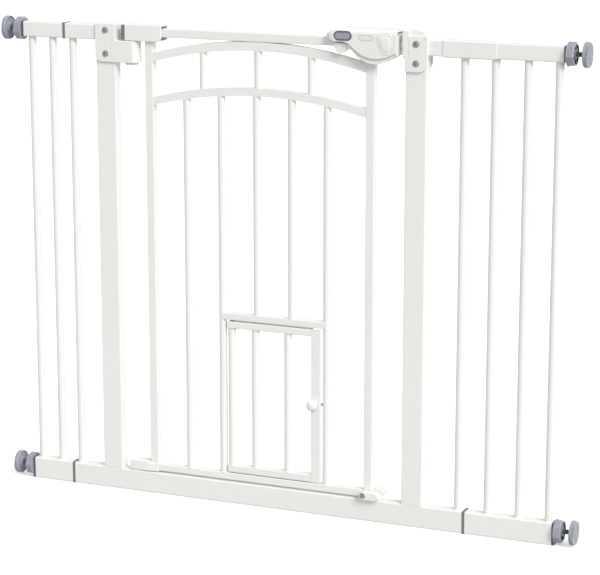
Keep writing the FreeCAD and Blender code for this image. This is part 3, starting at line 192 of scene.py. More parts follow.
# painted shade: the lock button's rim is darkened as the shadow of the gap round the button
BUTTON_RIM_PAINTED_SHADE = coated("button_rim_painted_shade", (0.155, 0.160, 0.205), (0.135, 0.140, 0.182),
             (0.24, 0.245, 0.29), 0.46, 2400.0, 0.00003, 160.0, 0.00003, specular=0.4, speck=0.08)
GOLD = coated("badge_outline", (0.56, 0.50, 0.26), (0.50, 0.44, 0.22), (0.38, 0.35, 0.2),
              0.42, 2500.0, 0.00002, 200.0, 0.00002, metallic=0.25, specular=0.5, speck=0.05)
CREAM = coated("badge_face", (0.83, 0.82, 0.755), (0.80, 0.79, 0.72), (0.70, 0.68, 0.60),
               0.36, 2600.0, 0.00002, 180.0, 0.00002, coat=0.2, specular=0.45, speck=0.03)

slot_of = {s["node"]: s["material_slot"] for s in frame["record"]["subparts"]}
for name, obj in frame["nodes"].items():
    obj.data.materials.clear()
    # painted shade: the joint spacers take the dark grey of the shaded gap between the rails
    obj.data.materials.append(DARK_GAP_PAINTED_SHADE if name == "joint_spacers" else MATS[slot_of[name]])


# ------------------------------------------------------------------ mesh tools
def place(name, bm, body, mats, sharp=32, bevel=0.0, segments=3, clean=True):
    """Scales a millimetre bmesh, makes it an object that rides on a body."""
    if clean:
        bmesh.ops.remove_doubles(bm, verts=bm.verts, dist=1e-4)
    bmesh.ops.recalc_face_normals(bm, faces=bm.faces)
    for v in bm.verts:
        v.co *= MM
    me = bpy.data.meshes.new(name)
    bm.to_mesh(me)
    bm.free()
    return dress(name, me, body, mats, sharp, bevel, segments)


def dress(name, me, body, mats, sharp=32, bevel=0.0, segments=3):
    for p in me.polygons:
        p.use_smooth = True
    me.set_sharp_from_angle(angle=math.radians(sharp))
    ob = bpy.data.objects.new(name, me)
    scene.collection.objects.link(ob)
    for m in mats if isinstance(mats, (list, tuple)) else [mats]:
        me.materials.append(m)
    if bevel:
        b = ob.modifiers.new("worn_edges", "BEVEL")
        b.width = bevel * MM
        b.segments = segments
        b.limit_method = "ANGLE"
        b.angle_limit = math.radians(32)
        b.use_clamp_overlap = True
        b.miter_outer = "MITER_ARC"
    w = ob.modifiers.new("even_normals", "WEIGHTED_NORMAL")
    w.mode = "FACE_AREA"
    w.keep_sharp = True
    w.weight = 80
    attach(ob, body)
    return ob


def rounded(points, seg=6):
    """(x, z, radius) corners to a closed list of points with the corners rounded."""
    out = []
    n = len(points)
    for i in range(n):
        p = Vector(points[i][:2])
        r = points[i][2] if len(points[i]) > 2 else 0.0
        a, c = Vector(points[i - 1][:2]), Vector(points[(i + 1) % n][:2])
        if r <= 0:
            out.append((p.x, p.y))
            continue
        u, v = (a - p).normalized(), (c - p).normalized()
        half = math.acos(max(-1, min(1, u.dot(v)))) / 2
        t = min(r / math.tan(half), (a - p).length * 0.49, (c - p).length * 0.49)
        rr = t * math.tan(half)
        mid = p + (u + v).normalized() * (rr / math.sin(half))
        s0, s1 = p + u * t - mid, p + v * t - mid
        a0, a1 = math.atan2(s0.y, s0.x), math.atan2(s1.y, s1.x)
        d = a1 - a0
        while d > PI:
            d -= 2 * PI
        while d < -PI:
            d += 2 * PI
        for k in range(seg + 1):
            q = a0 + d * k / seg
            out.append((mid.x + rr * math.cos(q), mid.y + rr * math.sin(q)))
    return out


def prism(pts, y0, y1, bm=None):
    """Outline in X and Z, standing from y0 to y1."""
    bm = bm or bmesh.new()
    lo = [bm.verts.new((x, y0, z)) for x, z in pts]
    hi = [bm.verts.new((x, y1, z)) for x, z in pts]
    n = len(pts)
    bm.faces.new(lo)
    bm.faces.new(hi[::-1])
    for i in range(n):
        bm.faces.new((lo[i], hi[i], hi[(i + 1) % n], lo[(i + 1) % n]))
    bmesh.ops.recalc_face_normals(bm, faces=bm.faces)
    return bm


def block(x0, x1, y0, y1, z0, z1, bm=None):
    return prism([(x0, z0), (x1, z0), (x1, z1), (x0, z1)], y0, y1, bm)


def disc(cx, cz, r, y0, y1, n=40, bm=None):
    pts = [(cx + r * math.cos(2 * PI * i / n), cz + r * math.sin(2 * PI * i / n)) for i in range(n)]
    return prism(pts, y0, y1, bm)


def upright(cx, cy, r, z0, z1, n=40, bm=None):
    """Cylinder along Z."""
    bm = bm or bmesh.new()
    lo = [bm.verts.new((cx + r * math.cos(2 * PI * i / n), cy + r * math.sin(2 * PI * i / n), z0)) for i in range(n)]
    hi = [bm.verts.new((v.co.x, v.co.y, z1)) for v in lo]
    bm.faces.new(lo[::-1])
    bm.faces.new(hi)
    for i in range(n):
        bm.faces.new((lo[i], lo[(i + 1) % n], hi[(i + 1) % n], hi[i]))
    return bm


def pill_points(x0, x1, z, tall, seg=14):
    r = tall / 2
    pts = []
    for i in range(seg + 1):
        a = -PI / 2 + PI * i / seg
        pts.append((x1 - r + r * math.cos(a), z + r * math.sin(a)))
    for i in range(seg + 1):
        a = PI / 2 + PI * i / seg
        pts.append((x0 + r + r * math.cos(a), z + r * math.sin(a)))
    return pts


def solid(bm):
    me = bpy.data.meshes.new("tmp")
    bmesh.ops.remove_doubles(bm, verts=bm.verts, dist=1e-5)
    bmesh.ops.recalc_face_normals(bm, faces=bm.faces)
    bm.to_mesh(me)
    bm.free()
    ob = bpy.data.objects.new("tmp", me)
    scene.collection.objects.link(ob)
    return ob


def carve(base, tools, join=()):
    """Boolean work on millimetre bmeshes; gives back a bmesh."""
    ob = solid(base)
    others = []
    for kind, list_ in (("UNION", join), ("DIFFERENCE", tools)):
        for t in list_:
            o = solid(t)
            others.append(o)
            m = ob.modifiers.new("b", "BOOLEAN")
            m.operation = kind
            m.solver = "EXACT"
            m.object = o
    dg = bpy.context.evaluated_depsgraph_get()
    dg.update()
    me = bpy.data.meshes.new_from_object(ob.evaluated_get(dg))
    bm = bmesh.new()
    bm.from_mesh(me)
    bpy.data.meshes.remove(me)
    for o in [ob] + others:
        d = o.data
        bpy.data.objects.remove(o)
        bpy.data.meshes.remove(d)
    bmesh.ops.remove_doubles(bm, verts=bm.verts, dist=2e-3)
    return bm


def soften(bm, width, segments=3, above=38.0, where=None):
    """Rounds the edges that turn by more than an angle; the whole width is used."""
    edges = [e for e in bm.edges if len(e.link_faces) == 2
             and e.calc_face_angle(0.0) > math.radians(above)
             and (where is None or where((e.verts[0].co + e.verts[1].co) / 2))]
    bmesh.ops.bevel(bm, geom=edges, offset=width, offset_type="OFFSET", segments=segments,
                    profile=0.5, affect="EDGES", clamp_overlap=False, miter_outer="ARC")
    bmesh.ops.remove_doubles(bm, verts=bm.verts, dist=2e-3)
    return bm


def split(bm):
    """Many-sided faces to triangles, so nothing depends on how they are filled."""
    many = [f for f in bm.faces if len(f.verts) > 4]
    bmesh.ops.triangulate(bm, faces=many, quad_method="BEAUTY", ngon_method="BEAUTY")
    return bm


def sweep(angles, profile, to_world, closed=False, bm=None):
    """A profile of (r, z) points for each angle, joined round the axis. An open
    profile starts and ends on the axis; a closed one is a ring."""
    bm = bm or bmesh.new()
    rows = []
    poles = {}
    for a in angles:
        row = []
        pts = profile(a)
        for k, (r, z) in enumerate(pts):
            if not closed and k in (0, len(pts) - 1):
                if k not in poles:
                    poles[k] = bm.verts.new(to_world(0.0, 0.0, z))
                row.append(poles[k])
            else:
                row.append(bm.verts.new(to_world(r * math.cos(a), r * math.sin(a), z)))
        rows.append(row)
    n = len(rows)
    for i in range(n):
        p, q = rows[i], rows[(i + 1) % n]
        m = len(p)
        for k in range(m if closed else m - 1):
            k2 = (k + 1) % m
            f = []
            for v in (p[k], p[k2], q[k2], q[k]):
                if v not in f:
                    f.append(v)
            if len(f) > 2:
                bm.faces.new(f)
    return bm


def outward(x0, side, axis):
    """Local z runs away from the gate along X, from x0."""
    return lambda u, v, w: (x0 + side * w, u, axis + v)


def toward_front(cx, cz, y0):
    """Local z runs to the front, from y0."""
    return lambda u, v, w: (cx + u, y0 - w, cz + v)


def upward(cx, cy, z0):
    return lambda u, v, w: (cx + u, cy + v, z0 + w)


def even(n):
    return [2 * PI * i / n for i in range(n)]


# ------------------------------------------------------------------ hand nuts
CORNERS = (("lower_left", -1, 21.5), ("upper_left", -1, 750.0),
           ("lower_right", 1, 21.5), ("upper_right", 1, 750.0))
LOBES = 7
NUT_TURN = {"lower_left": 2.62, "upper_left": 2.95, "lower_right": 3.04, "upper_right": 2.81}
RIBS = 7


def wrapped(a, period):
    return (a + period / 2) % period - period / 2


def lobe_radius(a, turn):
    """A seven sided grip with rounded corners."""
    period = 2 * PI / LOBES
    f = abs(wrapped(a - turn, period))
    r = 16.75 / math.cos(f)
    return min(r, 18.36 - 1.2 * max(0.0, (f - 0.36)) ** 2)


def nut_angles(turn):
    out = set()
    for i in range(LOBES * 24):
        out.add(round((turn + 2 * PI * i / (LOBES * 24)) % (2 * PI), 5))
    for i in range(LOBES):
        c = turn + 2 * PI * (i + 0.5) / LOBES
        for d in (-0.075, -0.05, -0.028, 0.0, 0.028, 0.05, 0.075):
            out.add(round((c + d) % (2 * PI), 5))
    for i in range(RIBS):
        c = turn + 2 * PI * (i + 0.5) / RIBS
        for d in (-0.118, -0.096, 0.096, 0.118):
            out.add(round((c + d) % (2 * PI), 5))
    kept = []
    for a in sorted(out):
        if kept and a - kept[-1] < 0.008:
            continue
        kept.append(a)
    return kept


def nut_profile(turn):
    def profile(a):
        rib = abs(wrapped(a - turn - PI / RIBS, 2 * PI / RIBS)) < 0.107
        floor = 10.7 if rib else 2.6
        dish = 10.7 if rib else 3.0
        r = lobe_radius(a, turn)
        return [(4.15, 0.3), (4.6, 0.0), (17.9, 0.0), (18.5, 0.4), (18.55, 1.3), (18.2, 1.75),
                (r - 0.1, 1.9), (r, 2.3), (r, 9.6), (r - 0.22, 10.5), (r - 0.9, 11.5),
                (r - 1.5, 11.95), (14.5, 12.0), (14.15, 11.8), (14.0, floor), (7.7, dish),
                (7.3, 11.1), (7.0, 11.8), (6.5, 12.0), (4.8, 12.0), (4.2, 11.5)]
    return profile


def thread(length, r0, r1, pitch, n=28, per=6):
    """Profile of a threaded rod that starts and ends on the axis."""
    steps = int(length / pitch * per)

    def profile(a):
        pts = [(0.0, 0.0), (r0 - 0.7, 0.0)]
        for i in range(steps + 1):
            z = 0.5 + (length - 1.0) * i / steps
            ph = (z / pitch - a / (2 * PI)) % 1.0
            tri = abs(2 * ph - 1)
            pts.append((r0 + (r1 - r0) * min(1.0, max(0.0, tri * 1.35 - 0.12)), z))
        pts += [(r0 - 0.7, length), (0.0, length)]
        return pts
    return even(n), profile


TEETH = 38


def pad_angles():
    out = []
    for i in range(TEETH):
        c = 2 * PI * i / TEETH
        for d in (0.0, 0.30, 0.40, 0.62, 0.90):
            out.append(c + d * 2 * PI / TEETH)
    return out


def pad_profile(a):
    ph = (a * TEETH / (2 * PI)) % 1.0
    cut = 1.5 if 0.35 < ph < 0.95 else 0.0
    return [(0.0, 3.0), (3.4, 3.0), (4.0, 2.6), (4.1, 0.3), (4.6, 0.0), (7.9, 0.0), (8.4, 0.5),
            (8.6, 3.2), (9.2, 3.9), (11.6, 4.0), (12.0, 3.6), (12.5, 3.6), (12.9, 4.0), (16.2, 4.0),
            (16.9, 3.6), (17.2, 2.4), (17.5, 1.8), (18.0, 1.6), (18.5, 1.9), (18.85, 2.7),
            (18.95, 3.6), (18.95, 5.9), (18.9, 6.2), (18.9 - cut * 0.9, 6.5), (18.85 - cut, 8.6),
            (18.6 - cut * 0.9, 9.3 - cut * 0.3), (17.9 - cut * 0.5, 9.9 - cut * 0.7), (15.9, 10.0 - cut * 0.7), (15.2, 10.0),
            (13.2, 10.0), (12.9, 9.5), (12.2, 9.5), (11.9, 10.0), (8.4, 10.0), (8.1, 9.5),
            (7.4, 9.5), (7.1, 10.0), (2.0, 10.0), (0.0, 9.8)]


for tag, side, axis in CORNERS:
    x1 = side * 449.5
    turn = NUT_TURN[tag]
    bm = sweep(nut_angles(turn), nut_profile(turn), outward(x1, side, axis), closed=True)
    # painted shade: the hollow between the ribs takes the dark grey, standing in for the shade inside the pocket
    for f in bm.faces:
        c = f.calc_center_median()
        r = math.hypot(c.y, c.z - axis)
        if 7.1 < r < 14.4 and (c.x - x1) * side < 9.8 and (c.x - x1) * side > 1.0:
            f.material_index = 1
    nut = place("nut_grip_" + tag, bm, "nut_" + tag,
                [MATS["grey_plastic"], MATS["dark_plastic"]], sharp=24)
    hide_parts("nut_" + tag)
    angles, prof = thread(54.6, 3.45, 3.98, 1.5)
    rod = place("threaded_spindle_" + tag, sweep(angles, prof, outward(side * 420.7, side, axis)),
                "spindle_" + tag, MATS["dark_steel"], sharp=40)
    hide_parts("spindle_" + tag)
    bm = sweep(pad_angles(), pad_profile, outward(side * 472.5, side, axis))
    # the ridges of the toothed band get the painted highlight, the cuts get the painted shade
    for f in bm.faces:
        c = f.calc_center_median()
        r, w = math.hypot(c.y, c.z - axis), (c.x - side * 472.5) * side
        if r > 16.0 and w > 6.3:
            ph = (math.atan2(c.z - axis, c.y) * TEETH / (2 * PI)) % 1.0
            f.material_index = 2 if 0.35 < ph < 0.95 else 1
    cup = place("wall_pad_" + tag, bm, "spindle_" + tag,
                [MATS["grey_rubber"], PAD_RIDGE_PAINTED_HIGHLIGHT, PAD_CUT_PAINTED_SHADE], sharp=28)
    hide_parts("pad_" + tag)


# ------------------------------------------------------------------ hinge bracket
SCREWS_LEFT = [(-298.0, 754.0), (-298.0, 717.0)]
SCREWS_RIGHT = [(219.5, 755.0), (219.5, 726.0)]
HALF = 10.0

bracket_outline = rounded([(-316.0, 765.0, 2.6), (-316.0, 704.0, 10.5), (-243.0, 704.0, 0.0),
                           (-243.0, 738.6, 0.0), (-280.0, 738.6, 0.0), (-280.0, 765.0, 2.2)], 8)
body_ = prism(bracket_outline, -13.5, 13.5)
# boss: rounded in plan about the pin
boss_cut = bmesh.new()
plan = [(-243.0 + 3, -20.0), (-243.0 + 3, 20.0)]
pts = [(-252.5, -20.0), (-240.0, -20.0), (-240.0, 20.0), (-252.5, 20.0), (-252.5, 13.5)]
for i in range(1, 24):
    t = PI / 2 - PI * i / 24
    pts.append((-252.5 + 9.5 * math.cos(t), 13.5 * math.sin(t)))
pts.append((-252.5, -13.5))
lo = [boss_cut.verts.new((x, y, 700.0)) for x, y in pts]
hi = [boss_cut.verts.new((x, y, 742.0)) for x, y in pts]
boss_cut.faces.new(lo)
boss_cut.faces.new(hi[::-1])
for i in range(len(pts)):
    j = (i + 1) % len(pts)
    boss_cut.faces.new((lo[i], hi[i], hi[j], lo[j]))
bm = carve(body_, [block(-321, -282.45, -HALF, HALF, 699, 770), boss_cut])
soften(bm, 1.25, 4)
tools = [block(-290.5, -289.1, -15, -12.5, 700, 770)]
for x, z in SCREWS_LEFT:
    tools.append(disc(x, z, 5.25, -15, -12.6))
bm = carve(bm, tools)
soften(bm, 0.22, 2, above=50, where=lambda c: c.y < -12.0)
obj = place("hinge_bracket_moulding", split(bm), "frame", MATS["white_plastic"])
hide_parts("left_hinge_bracket")
# plug that closes the post's open top between the bracket's walls
bm = prism(rounded([(-315.9, 762.05, 0.4), (-282.6, 762.05, 0.4), (-282.6, 764.4, 1.0), (-299.2, 764.7, 30.0),
                    (-315.9, 764.4, 1.0)], 5), -9.9, 9.9)
soften(bm, 0.3, 2, above=50)
place("left_post_plug", split(bm), "frame", MATS["white_plastic"])

# ------------------------------------------------------------------ hinge pins
def turned(points):
    return lambda a: points


bm = sweep(even(48), turned([(0, 0), (9.6, 0), (10.4, 0.35), (10.9, 1.0), (10.9, 2.4), (10.5, 2.9),
                             (10.9, 3.3), (10.9, 3.6), (4.0, 3.6), (4.0, 58.6), (3.0, 59.6), (0, 59.6)]),
           upward(-258.0, 0, 700.4))
bm = sweep(even(48), turned([(0, 33.8), (4.0, 33.8), (4.0, 35.0), (9.0, 35.0), (9.5, 35.3), (9.5, 35.9),
                             (9.2, 36.2), (4.0, 36.2), (4.0, 47.5), (3.0, 48.5), (0, 48.5)]),
           upward(-258.0, 0, 0), bm=bm)
obj = place("hinge_pins_turned", bm, "frame", MATS["white_plastic"], sharp=30)
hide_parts("door_hinge_pins")

# ------------------------------------------------------------------ latch keeper
keeper_outline = rounded([(198.0, 775.0, 2.0), (198.0, 733.0, 1.8), (202.0, 733.0, 0),
                          (202.0, 713.0, 1.8), (238.0, 713.0, 14.5), (238.0, 767.0, 3.0),
                          (229.5, 773.4, 8.0), (219.0, 775.0, 12.0)], 8)
bm = prism(keeper_outline, -14.0, 14.0)
soften(bm, 1.1, 4, above=60)
bm = carve(bm, [block(202.0, 250, -HALF, HALF, 700, 762.0),
                # the plate stops under the cap: the cap stands back from it
                prism([(208.2, 766.6), (245, 766.6), (245, 780), (208.2, 780)], -16, -11.0),
                prism([(208.2, 766.6), (245, 766.6), (245, 780), (208.2, 780)], 11.0, 16)])
tools = [block(196, 200.4, -8, 8, 744.0, 762.0), block(207.4, 208.7, -16, -12.9, 733.4, 767.0)]
for x, z in SCREWS_RIGHT:
    tools.append(disc(x, z, 5.25, -16, -13.05))
bm = carve(bm, tools)
soften(bm, 0.25, 2, above=60, where=lambda c: c.y < -10.6)
obj = place("latch_keeper_moulding", split(bm), "frame", MATS["white_plastic"])
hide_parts("latch_keeper")

# ------------------------------------------------------------------ screws
bm = bmesh.new()
cuts = []
for places, face in ((SCREWS_LEFT, -12.6), (SCREWS_RIGHT, -13.05)):
    for x, z in places:
        pts = [(0, 0.0), (4.3, 0.0), (4.65, 0.35), (4.65, 1.1), (4.4, 1.75), (3.9, 2.2),
               (3.1, 2.5), (1.8, 2.68), (0, 2.72)]
        sweep(even(40), turned([(0, -6.5), (1.5, -6.5), (2.0, -5.8)] + [(2.0, 0.0)] + pts[1:]),
              toward_front(x, z, face), bm=bm)
        c = math.radians(18 + 31 * (z % 3))
        for t in (0, PI / 2):
            q = []
            for u, v in ((-2.5, -0.45), (2.5, -0.45), (2.5, 0.45), (-2.5, 0.45)):
                q.append((x + u * math.cos(c + t) - v * math.sin(c + t),
                          z + u * math.sin(c + t) + v * math.cos(c + t)))
            cuts.append(prism(q, face - 4, face - 1.2))
bm = carve(bm, cuts)
obj = place("bracket_screw_heads", split(bm), "frame", MATS["plated_steel"], sharp=24)
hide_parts("bracket_screws")

# ------------------------------------------------------------------ door hinge blocks
outline = rounded([(-267.0, 765.0, 1.6), (-267.0, 739.2, 1.6), (-205.0, 739.2, 3.0),
                   (-201.0, 744.2, 2.0), (-201.0, 765.0, 1.6)], 5)
body_ = prism(outline, -13.0, 13.0)
end_cut = bmesh.new()
pts = [(-263.0, -20.0), (-271.0, -20.0), (-271.0, 20.0), (-263.0, 20.0), (-263.0, 13.0)]
for i in range(1, 20):
    t = PI / 2 + PI * i / 20
    pts.append((-263.0 + 4.0 * math.cos(t), 13.0 * math.sin(t)))
pts.append((-263.0, -13.0))
lo = [end_cut.verts.new((x, y, 735.0)) for x, y in pts]
hi = [end_cut.verts.new((x, y, 768.0)) for x, y in pts]
end_cut.faces.new(lo)
end_cut.faces.new(hi[::-1])
for i in range(len(pts)):
    j = (i + 1) % len(pts)
    end_cut.faces.new((lo[i], hi[i], hi[j], lo[j]))
tools = [end_cut, block(-232.5, -196, -7.0, 7.0, 746.0, 760.0), block(-232.5, -196, -7.0, 7.0, 735, 746.5),
         block(-204.6, -196, -11.0, 11.0, 741.5, 763.2),
         upright(-258.0, 0, 4.06, 735, 760.9)]
bm = carve(body_, [end_cut])
soften(bm, 1.3, 4)
bm = carve(bm, tools[1:])
obj = place("upper_hinge_block_moulding", split(bm), "door", MATS["white_plastic"])
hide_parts("upper_hinge_block")

# painted shade: a dark ring round the bar fills the block's open end, standing in for the shade inside it
bm = carve(prism(rounded([(-204.4, 762.6, 1.0), (-204.4, 741.6, 1.0), (-199.2, 741.6, 2.2),
                          (-199.2, 762.6, 2.2)], 4), -6.8, 6.8),
           [block(-208, -195, -7.02, 7.02, 746.0, 760.0)])
obj = place("bar_opening_painted_shade", bm, "door", DARK_GAP_PAINTED_SHADE, bevel=0.4)
# painted shade: a dark plate on the block's end stands in for the shaded gap against the bracket
bm = prism(rounded([(-270.6, 763.6, 1.2), (-270.6, 740.6, 1.2), (-265.5, 740.6, 1.2), (-265.5, 763.6, 1.2)], 4),
           -11.6, 11.6)
soften(bm, 0.7, 3, above=60)
obj = place("block_end_gap_painted_shade", bm, "door", DARK_GAP_PAINTED_SHADE)

body_ = prism(rounded([(-269.0, 52.0, 1.6), (-269.0, 36.5, 1.2), (-218.8, 36.5, 1.0), (-218.8, 49.6, 1.0),
                       (-231.0, 49.6, 1.5), (-233.8, 52.0, 3.0)], 5), -10.4, 10.4)


def plan_cut(pts, z0=30.0, z1=60.0):
    cut_ = bmesh.new()
    lo_ = [cut_.verts.new((x, y, z0)) for x, y in pts]
    hi_ = [cut_.verts.new((x, y, z1)) for x, y in pts]
    cut_.faces.new(lo_)
    cut_.faces.new(hi_[::-1])
    for i in range(len(pts)):
        j = (i + 1) % len(pts)
        cut_.faces.new((lo_[i], hi_[i], hi_[j], lo_[j]))
    return cut_


pts = [(-266.0, -20.0), (-273.0, -20.0), (-273.0, 20.0), (-266.0, 20.0), (-266.0, 10.4)]
for i in range(1, 10):
    t = PI / 2 + PI / 2 * i / 10
    pts.append((-266.0 + 3.0 * math.cos(t), 7.4 + 3.0 * math.sin(t)))
pts += [(-269.0, 7.4), (-269.0, -7.4)]
for i in range(1, 10):
    t = PI + PI / 2 * i / 10
    pts.append((-266.0 + 3.0 * math.cos(t), -7.4 + 3.0 * math.sin(t)))
pts.append((-266.0, -10.4))
tools = [plan_cut(pts)]
# the cheeks draw in towards the rail and lap over the stile's foot
for s in (-1, 1):
    q = [(-242.0, s * 10.4)]
    for i in range(1, 13):
        t = i / 12
        q.append((-242.0 + 24.0 * t, s * (10.4 - 2.9 * (3 * t * t - 2 * t ** 3))))
    q += [(-212.0, s * 7.5), (-212.0, s * 20.0), (-242.0, s * 20.0)]
    tools.append(plan_cut(q))
bm = carve(body_, tools)
soften(bm, 0.8, 4, above=50)
bm = carve(bm, [upright(-258.0, 0, 4.06, 30, 49.0), block(-232.53, -217.0, -7.02, 7.02, 37.98, 60.0)])
obj = place("lower_hinge_block_moulding", split(bm), "door", MATS["white_plastic"])
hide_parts("lower_hinge_block")


# ------------------------------------------------------------------ handle
# Front outline of the lever: lower and upper line against X.
LOWER = [(75.5, 763.6), (76.5, 761.6), (79.5, 759.8), (84.5, 756.8), (89.7, 755.0), (97.0, 754.6),
         (104.0, 754.8), (110.5, 753.6), (115.0, 751.3), (119.0, 748.2), (123.0, 744.7),
         (130.4, 738.9), (136.5, 735.3), (143.0, 732.8), (151.0, 731.1), (159.5, 730.6),
         (166.0, 731.2), (172.0, 732.5), (182.0, 736.3), (192.0, 741.1)]
UPPER = [(75.5, 763.8), (77.0, 766.0), (80.0, 768.1), (84.0, 770.0), (88.0, 771.7), (92.0, 773.1),
         (96.0, 774.15), (100.0, 774.7), (104.0, 774.9), (192.0, 774.9)]


def along(points, x):
    """Smooth line through the points (Catmull-Rom against X)."""
    if x <= points[0][0]:
        return points[0][1]
    if x >= points[-1][0]:
        return points[-1][1]
    for i in range(len(points) - 1):
        (x0, z0), (x1, z1) = points[i], points[i + 1]
        if x0 <= x <= x1:
            zp = points[i - 1] if i else points[i]
            zn = points[i + 2] if i + 2 < len(points) else points[i + 1]
            m0 = (z1 - zp[1]) / (x1 - zp[0])
            m1 = (zn[1] - z0) / (zn[0] - x0)
            h = x1 - x0
            t = (x - x0) / h
            return ((2 * t ** 3 - 3 * t ** 2 + 1) * z0 + (t ** 3 - 2 * t ** 2 + t) * h * m0
                    + (-2 * t ** 3 + 3 * t ** 2) * z1 + (t ** 3 - t ** 2) * h * m1)
    return points[-1][1]


TOP_ROUND = 8.0
LOW_ROUND = 1.6


def shell_half(x):
    """Half depth of the lever: it narrows towards the nose."""
    if x >= 93.0:
        return 23.0
    t = (93.0 - x) / 17.5
    return 8.0 + 15.0 * math.sqrt(max(0.0, 1 - t * t))


def shell_ring(x, count_top=9, count_low=4):
    """Cross-section at x as (y, z), from the lower front round the top to the lower back."""
    zl, zu, h = along(LOWER, x), along(UPPER, x), shell_half(x)
    tall = zu - zl
    rt = min(TOP_ROUND, tall * 0.48, h * 0.8)
    rl = min(LOW_ROUND, tall * 0.3)
    half = []
    half.append((0.0, zl))
    for i in range(count_low + 1):
        t = PI / 2 * i / count_low
        half.append((h - rl + rl * math.sin(t), zl + rl - rl * math.cos(t)))
    for i in range(count_top + 1):
        t = PI / 2 * i / count_top
        # the top edge is a soft shoulder, a little crowned
        half.append((h - rt + rt * math.cos(t), zu - rt + rt * math.sin(t)))
    half.append((h * 0.35, zu))
    ring = [(-y, z) for y, z in half] + [(y, z) for y, z in reversed(half[1:])]
    out = []
    for p in ring:
        if not out or (Vector(p) - Vector(out[-1])).length > 1e-4:
            out.append(p)
    return out


def shell_front(x, z):
    """The lever's front surface: y at (x, z)."""
    zl, zu, h = along(LOWER, x), along(UPPER, x), shell_half(x)
    rt = min(TOP_ROUND, (zu - zl) * 0.48, h * 0.8)
    d = z - (zu - rt)
    if d <= 0:
        return -h
    return -(h - rt + math.sqrt(max(0.0, rt * rt - d * d)))


def loft(stations, ring, bm=None):
    bm = bm or bmesh.new()
    rows = []
    for x in stations:
        rows.append([bm.verts.new((x, y, z)) for y, z in ring(x)])
    n = len(rows[0])
    bm.faces.new(rows[0])
    bm.faces.new(rows[-1][::-1])
    for a, b in zip(rows, rows[1:]):
        for i in range(n):
            j = (i + 1) % n
            bm.faces.new((a[i], b[i], b[j], a[j]))
    return bm


stations = [75.6, 76.0, 76.6, 77.4, 78.4, 79.6, 81.0, 82.6, 84.4, 86.4, 88.6, 91.0, 93.5]
x = 96.5
while x < 191.5:
    stations.append(x)
    x += 3.0 if x < 170 else 3.2
stations.append(192.0)
outer = loft(stations, shell_ring)


def cavity_ring(x):
    zl = along(LOWER, x) - 6.0
    zu = min(772.0, along(UPPER, x) - 3.2)
    h = max(shell_half(x) - 2.5, 2.0)
    r = 5.5
    pts = [(-h, zl)]
    for i in range(7):
        t = PI / 2 * i / 6
        pts.append((-(h - r + r * math.cos(t)), zu - r + r * math.sin(t)))
    return pts + [(-y, z) for y, z in reversed(pts)]


cav = loft([101.0, 104.0, 108.0, 114.0, 120.0, 128.0, 136.0, 144.0, 152.0, 160.0, 168.0, 176.0, 184.0, 198.0],
           cavity_ring)
low_cav = loft([84.0, 88.0, 92.0, 96.0, 101.5],
               lambda x: [(-(shell_half(x) - 4.0), 745.0), (-(shell_half(x) - 4.0), 760.8),
                          (shell_half(x) - 4.0, 760.8), (shell_half(x) - 4.0, 745.0)])

THUMB = rounded([(161.2, 769.3, 3.6), (162.6, 752.0, 14.0), (169.2, 738.6, 5.0), (180.4, 738.2, 6.5),
                 (185.6, 751.0, 12.0), (185.8, 769.3, 5.0)], 10)


def grown(points, d):
    """The outline moved outwards by d (inwards if negative), about its own normals."""
    n = len(points)
    out = []
    for i in range(n):
        a, p, b = Vector(points[i - 1]), Vector(points[i]), Vector(points[(i + 1) % n])
        t = (b - a)
        if t.length < 1e-9:
            out.append(points[i])
            continue
        t.normalize()
        nrm = Vector((-t.y, t.x))
        c = Vector((sum(q[0] for q in points) / n, sum(q[1] for q in points) / n))
        if nrm.dot(p - c) < 0:
            nrm = -nrm
        q = p + nrm * d
        out.append((q.x, q.y))
    return out


# the block lets the top bar into the nose
tools = [cav, low_cav, block(70, 86.0, -7.4, 7.4, 740, 760.5),
         prism(pill_points(91.4, 120.6, 763.8, 14.8), -30, -14),
         prism(grown(THUMB, 1.1), -30, -22.1), prism(grown(THUMB, 1.1), 22.1, 30)]
bm = carve(outer, tools)
soften(bm, 0.35, 2, above=50)
obj = place("lift_handle_shell", split(bm), "handle", MATS["white_plastic"], sharp=40)
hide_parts("handle_shell")


def cushion_patch(outline_, rings, depth, rise, side=-1, foot=1.6, bm=None):
    """A closed, softly domed patch that follows the lever's front surface.
    rings gives (share of the outline, height above the surface)."""
    bm = bm or bmesh.new()
    n = len(outline_)
    cx = sum(p[0] for p in outline_) / n
    cz = sum(p[1] for p in outline_) / n
    rows = []
    for s, hgt in rings:
        row = []
        for px, pz in outline_:
            qx, qz = cx + (px - cx) * s, cz + (pz - cz) * s
            y = shell_front(qx, qz) - hgt
            row.append(bm.verts.new((qx, y if side < 0 else -y, qz)))
        rows.append(row)
    for a, b in zip(rows, rows[1:]):
        for i in range(n):
            j = (i + 1) % n
            bm.faces.new((a[i], a[j], b[j], b[i]))
    top = bm.verts.new((cx, (shell_front(cx, cz) - rings[-1][1]) * (1 if side < 0 else -1), cz))
    for i in range(n):
        bm.faces.new((rows[-1][i], rows[-1][(i + 1) % n], top))
    # back, inside the wall
    back = []
    for px, pz in outline_:
        y = shell_front(px, pz) + foot
        back.append(bm.verts.new((px, y if side < 0 else -y, pz)))
    for i in range(n):
        j = (i + 1) % n
        bm.faces.new((rows[0][i], back[i], back[j], rows[0][j]))
    bm.faces.new(back)
    return bm


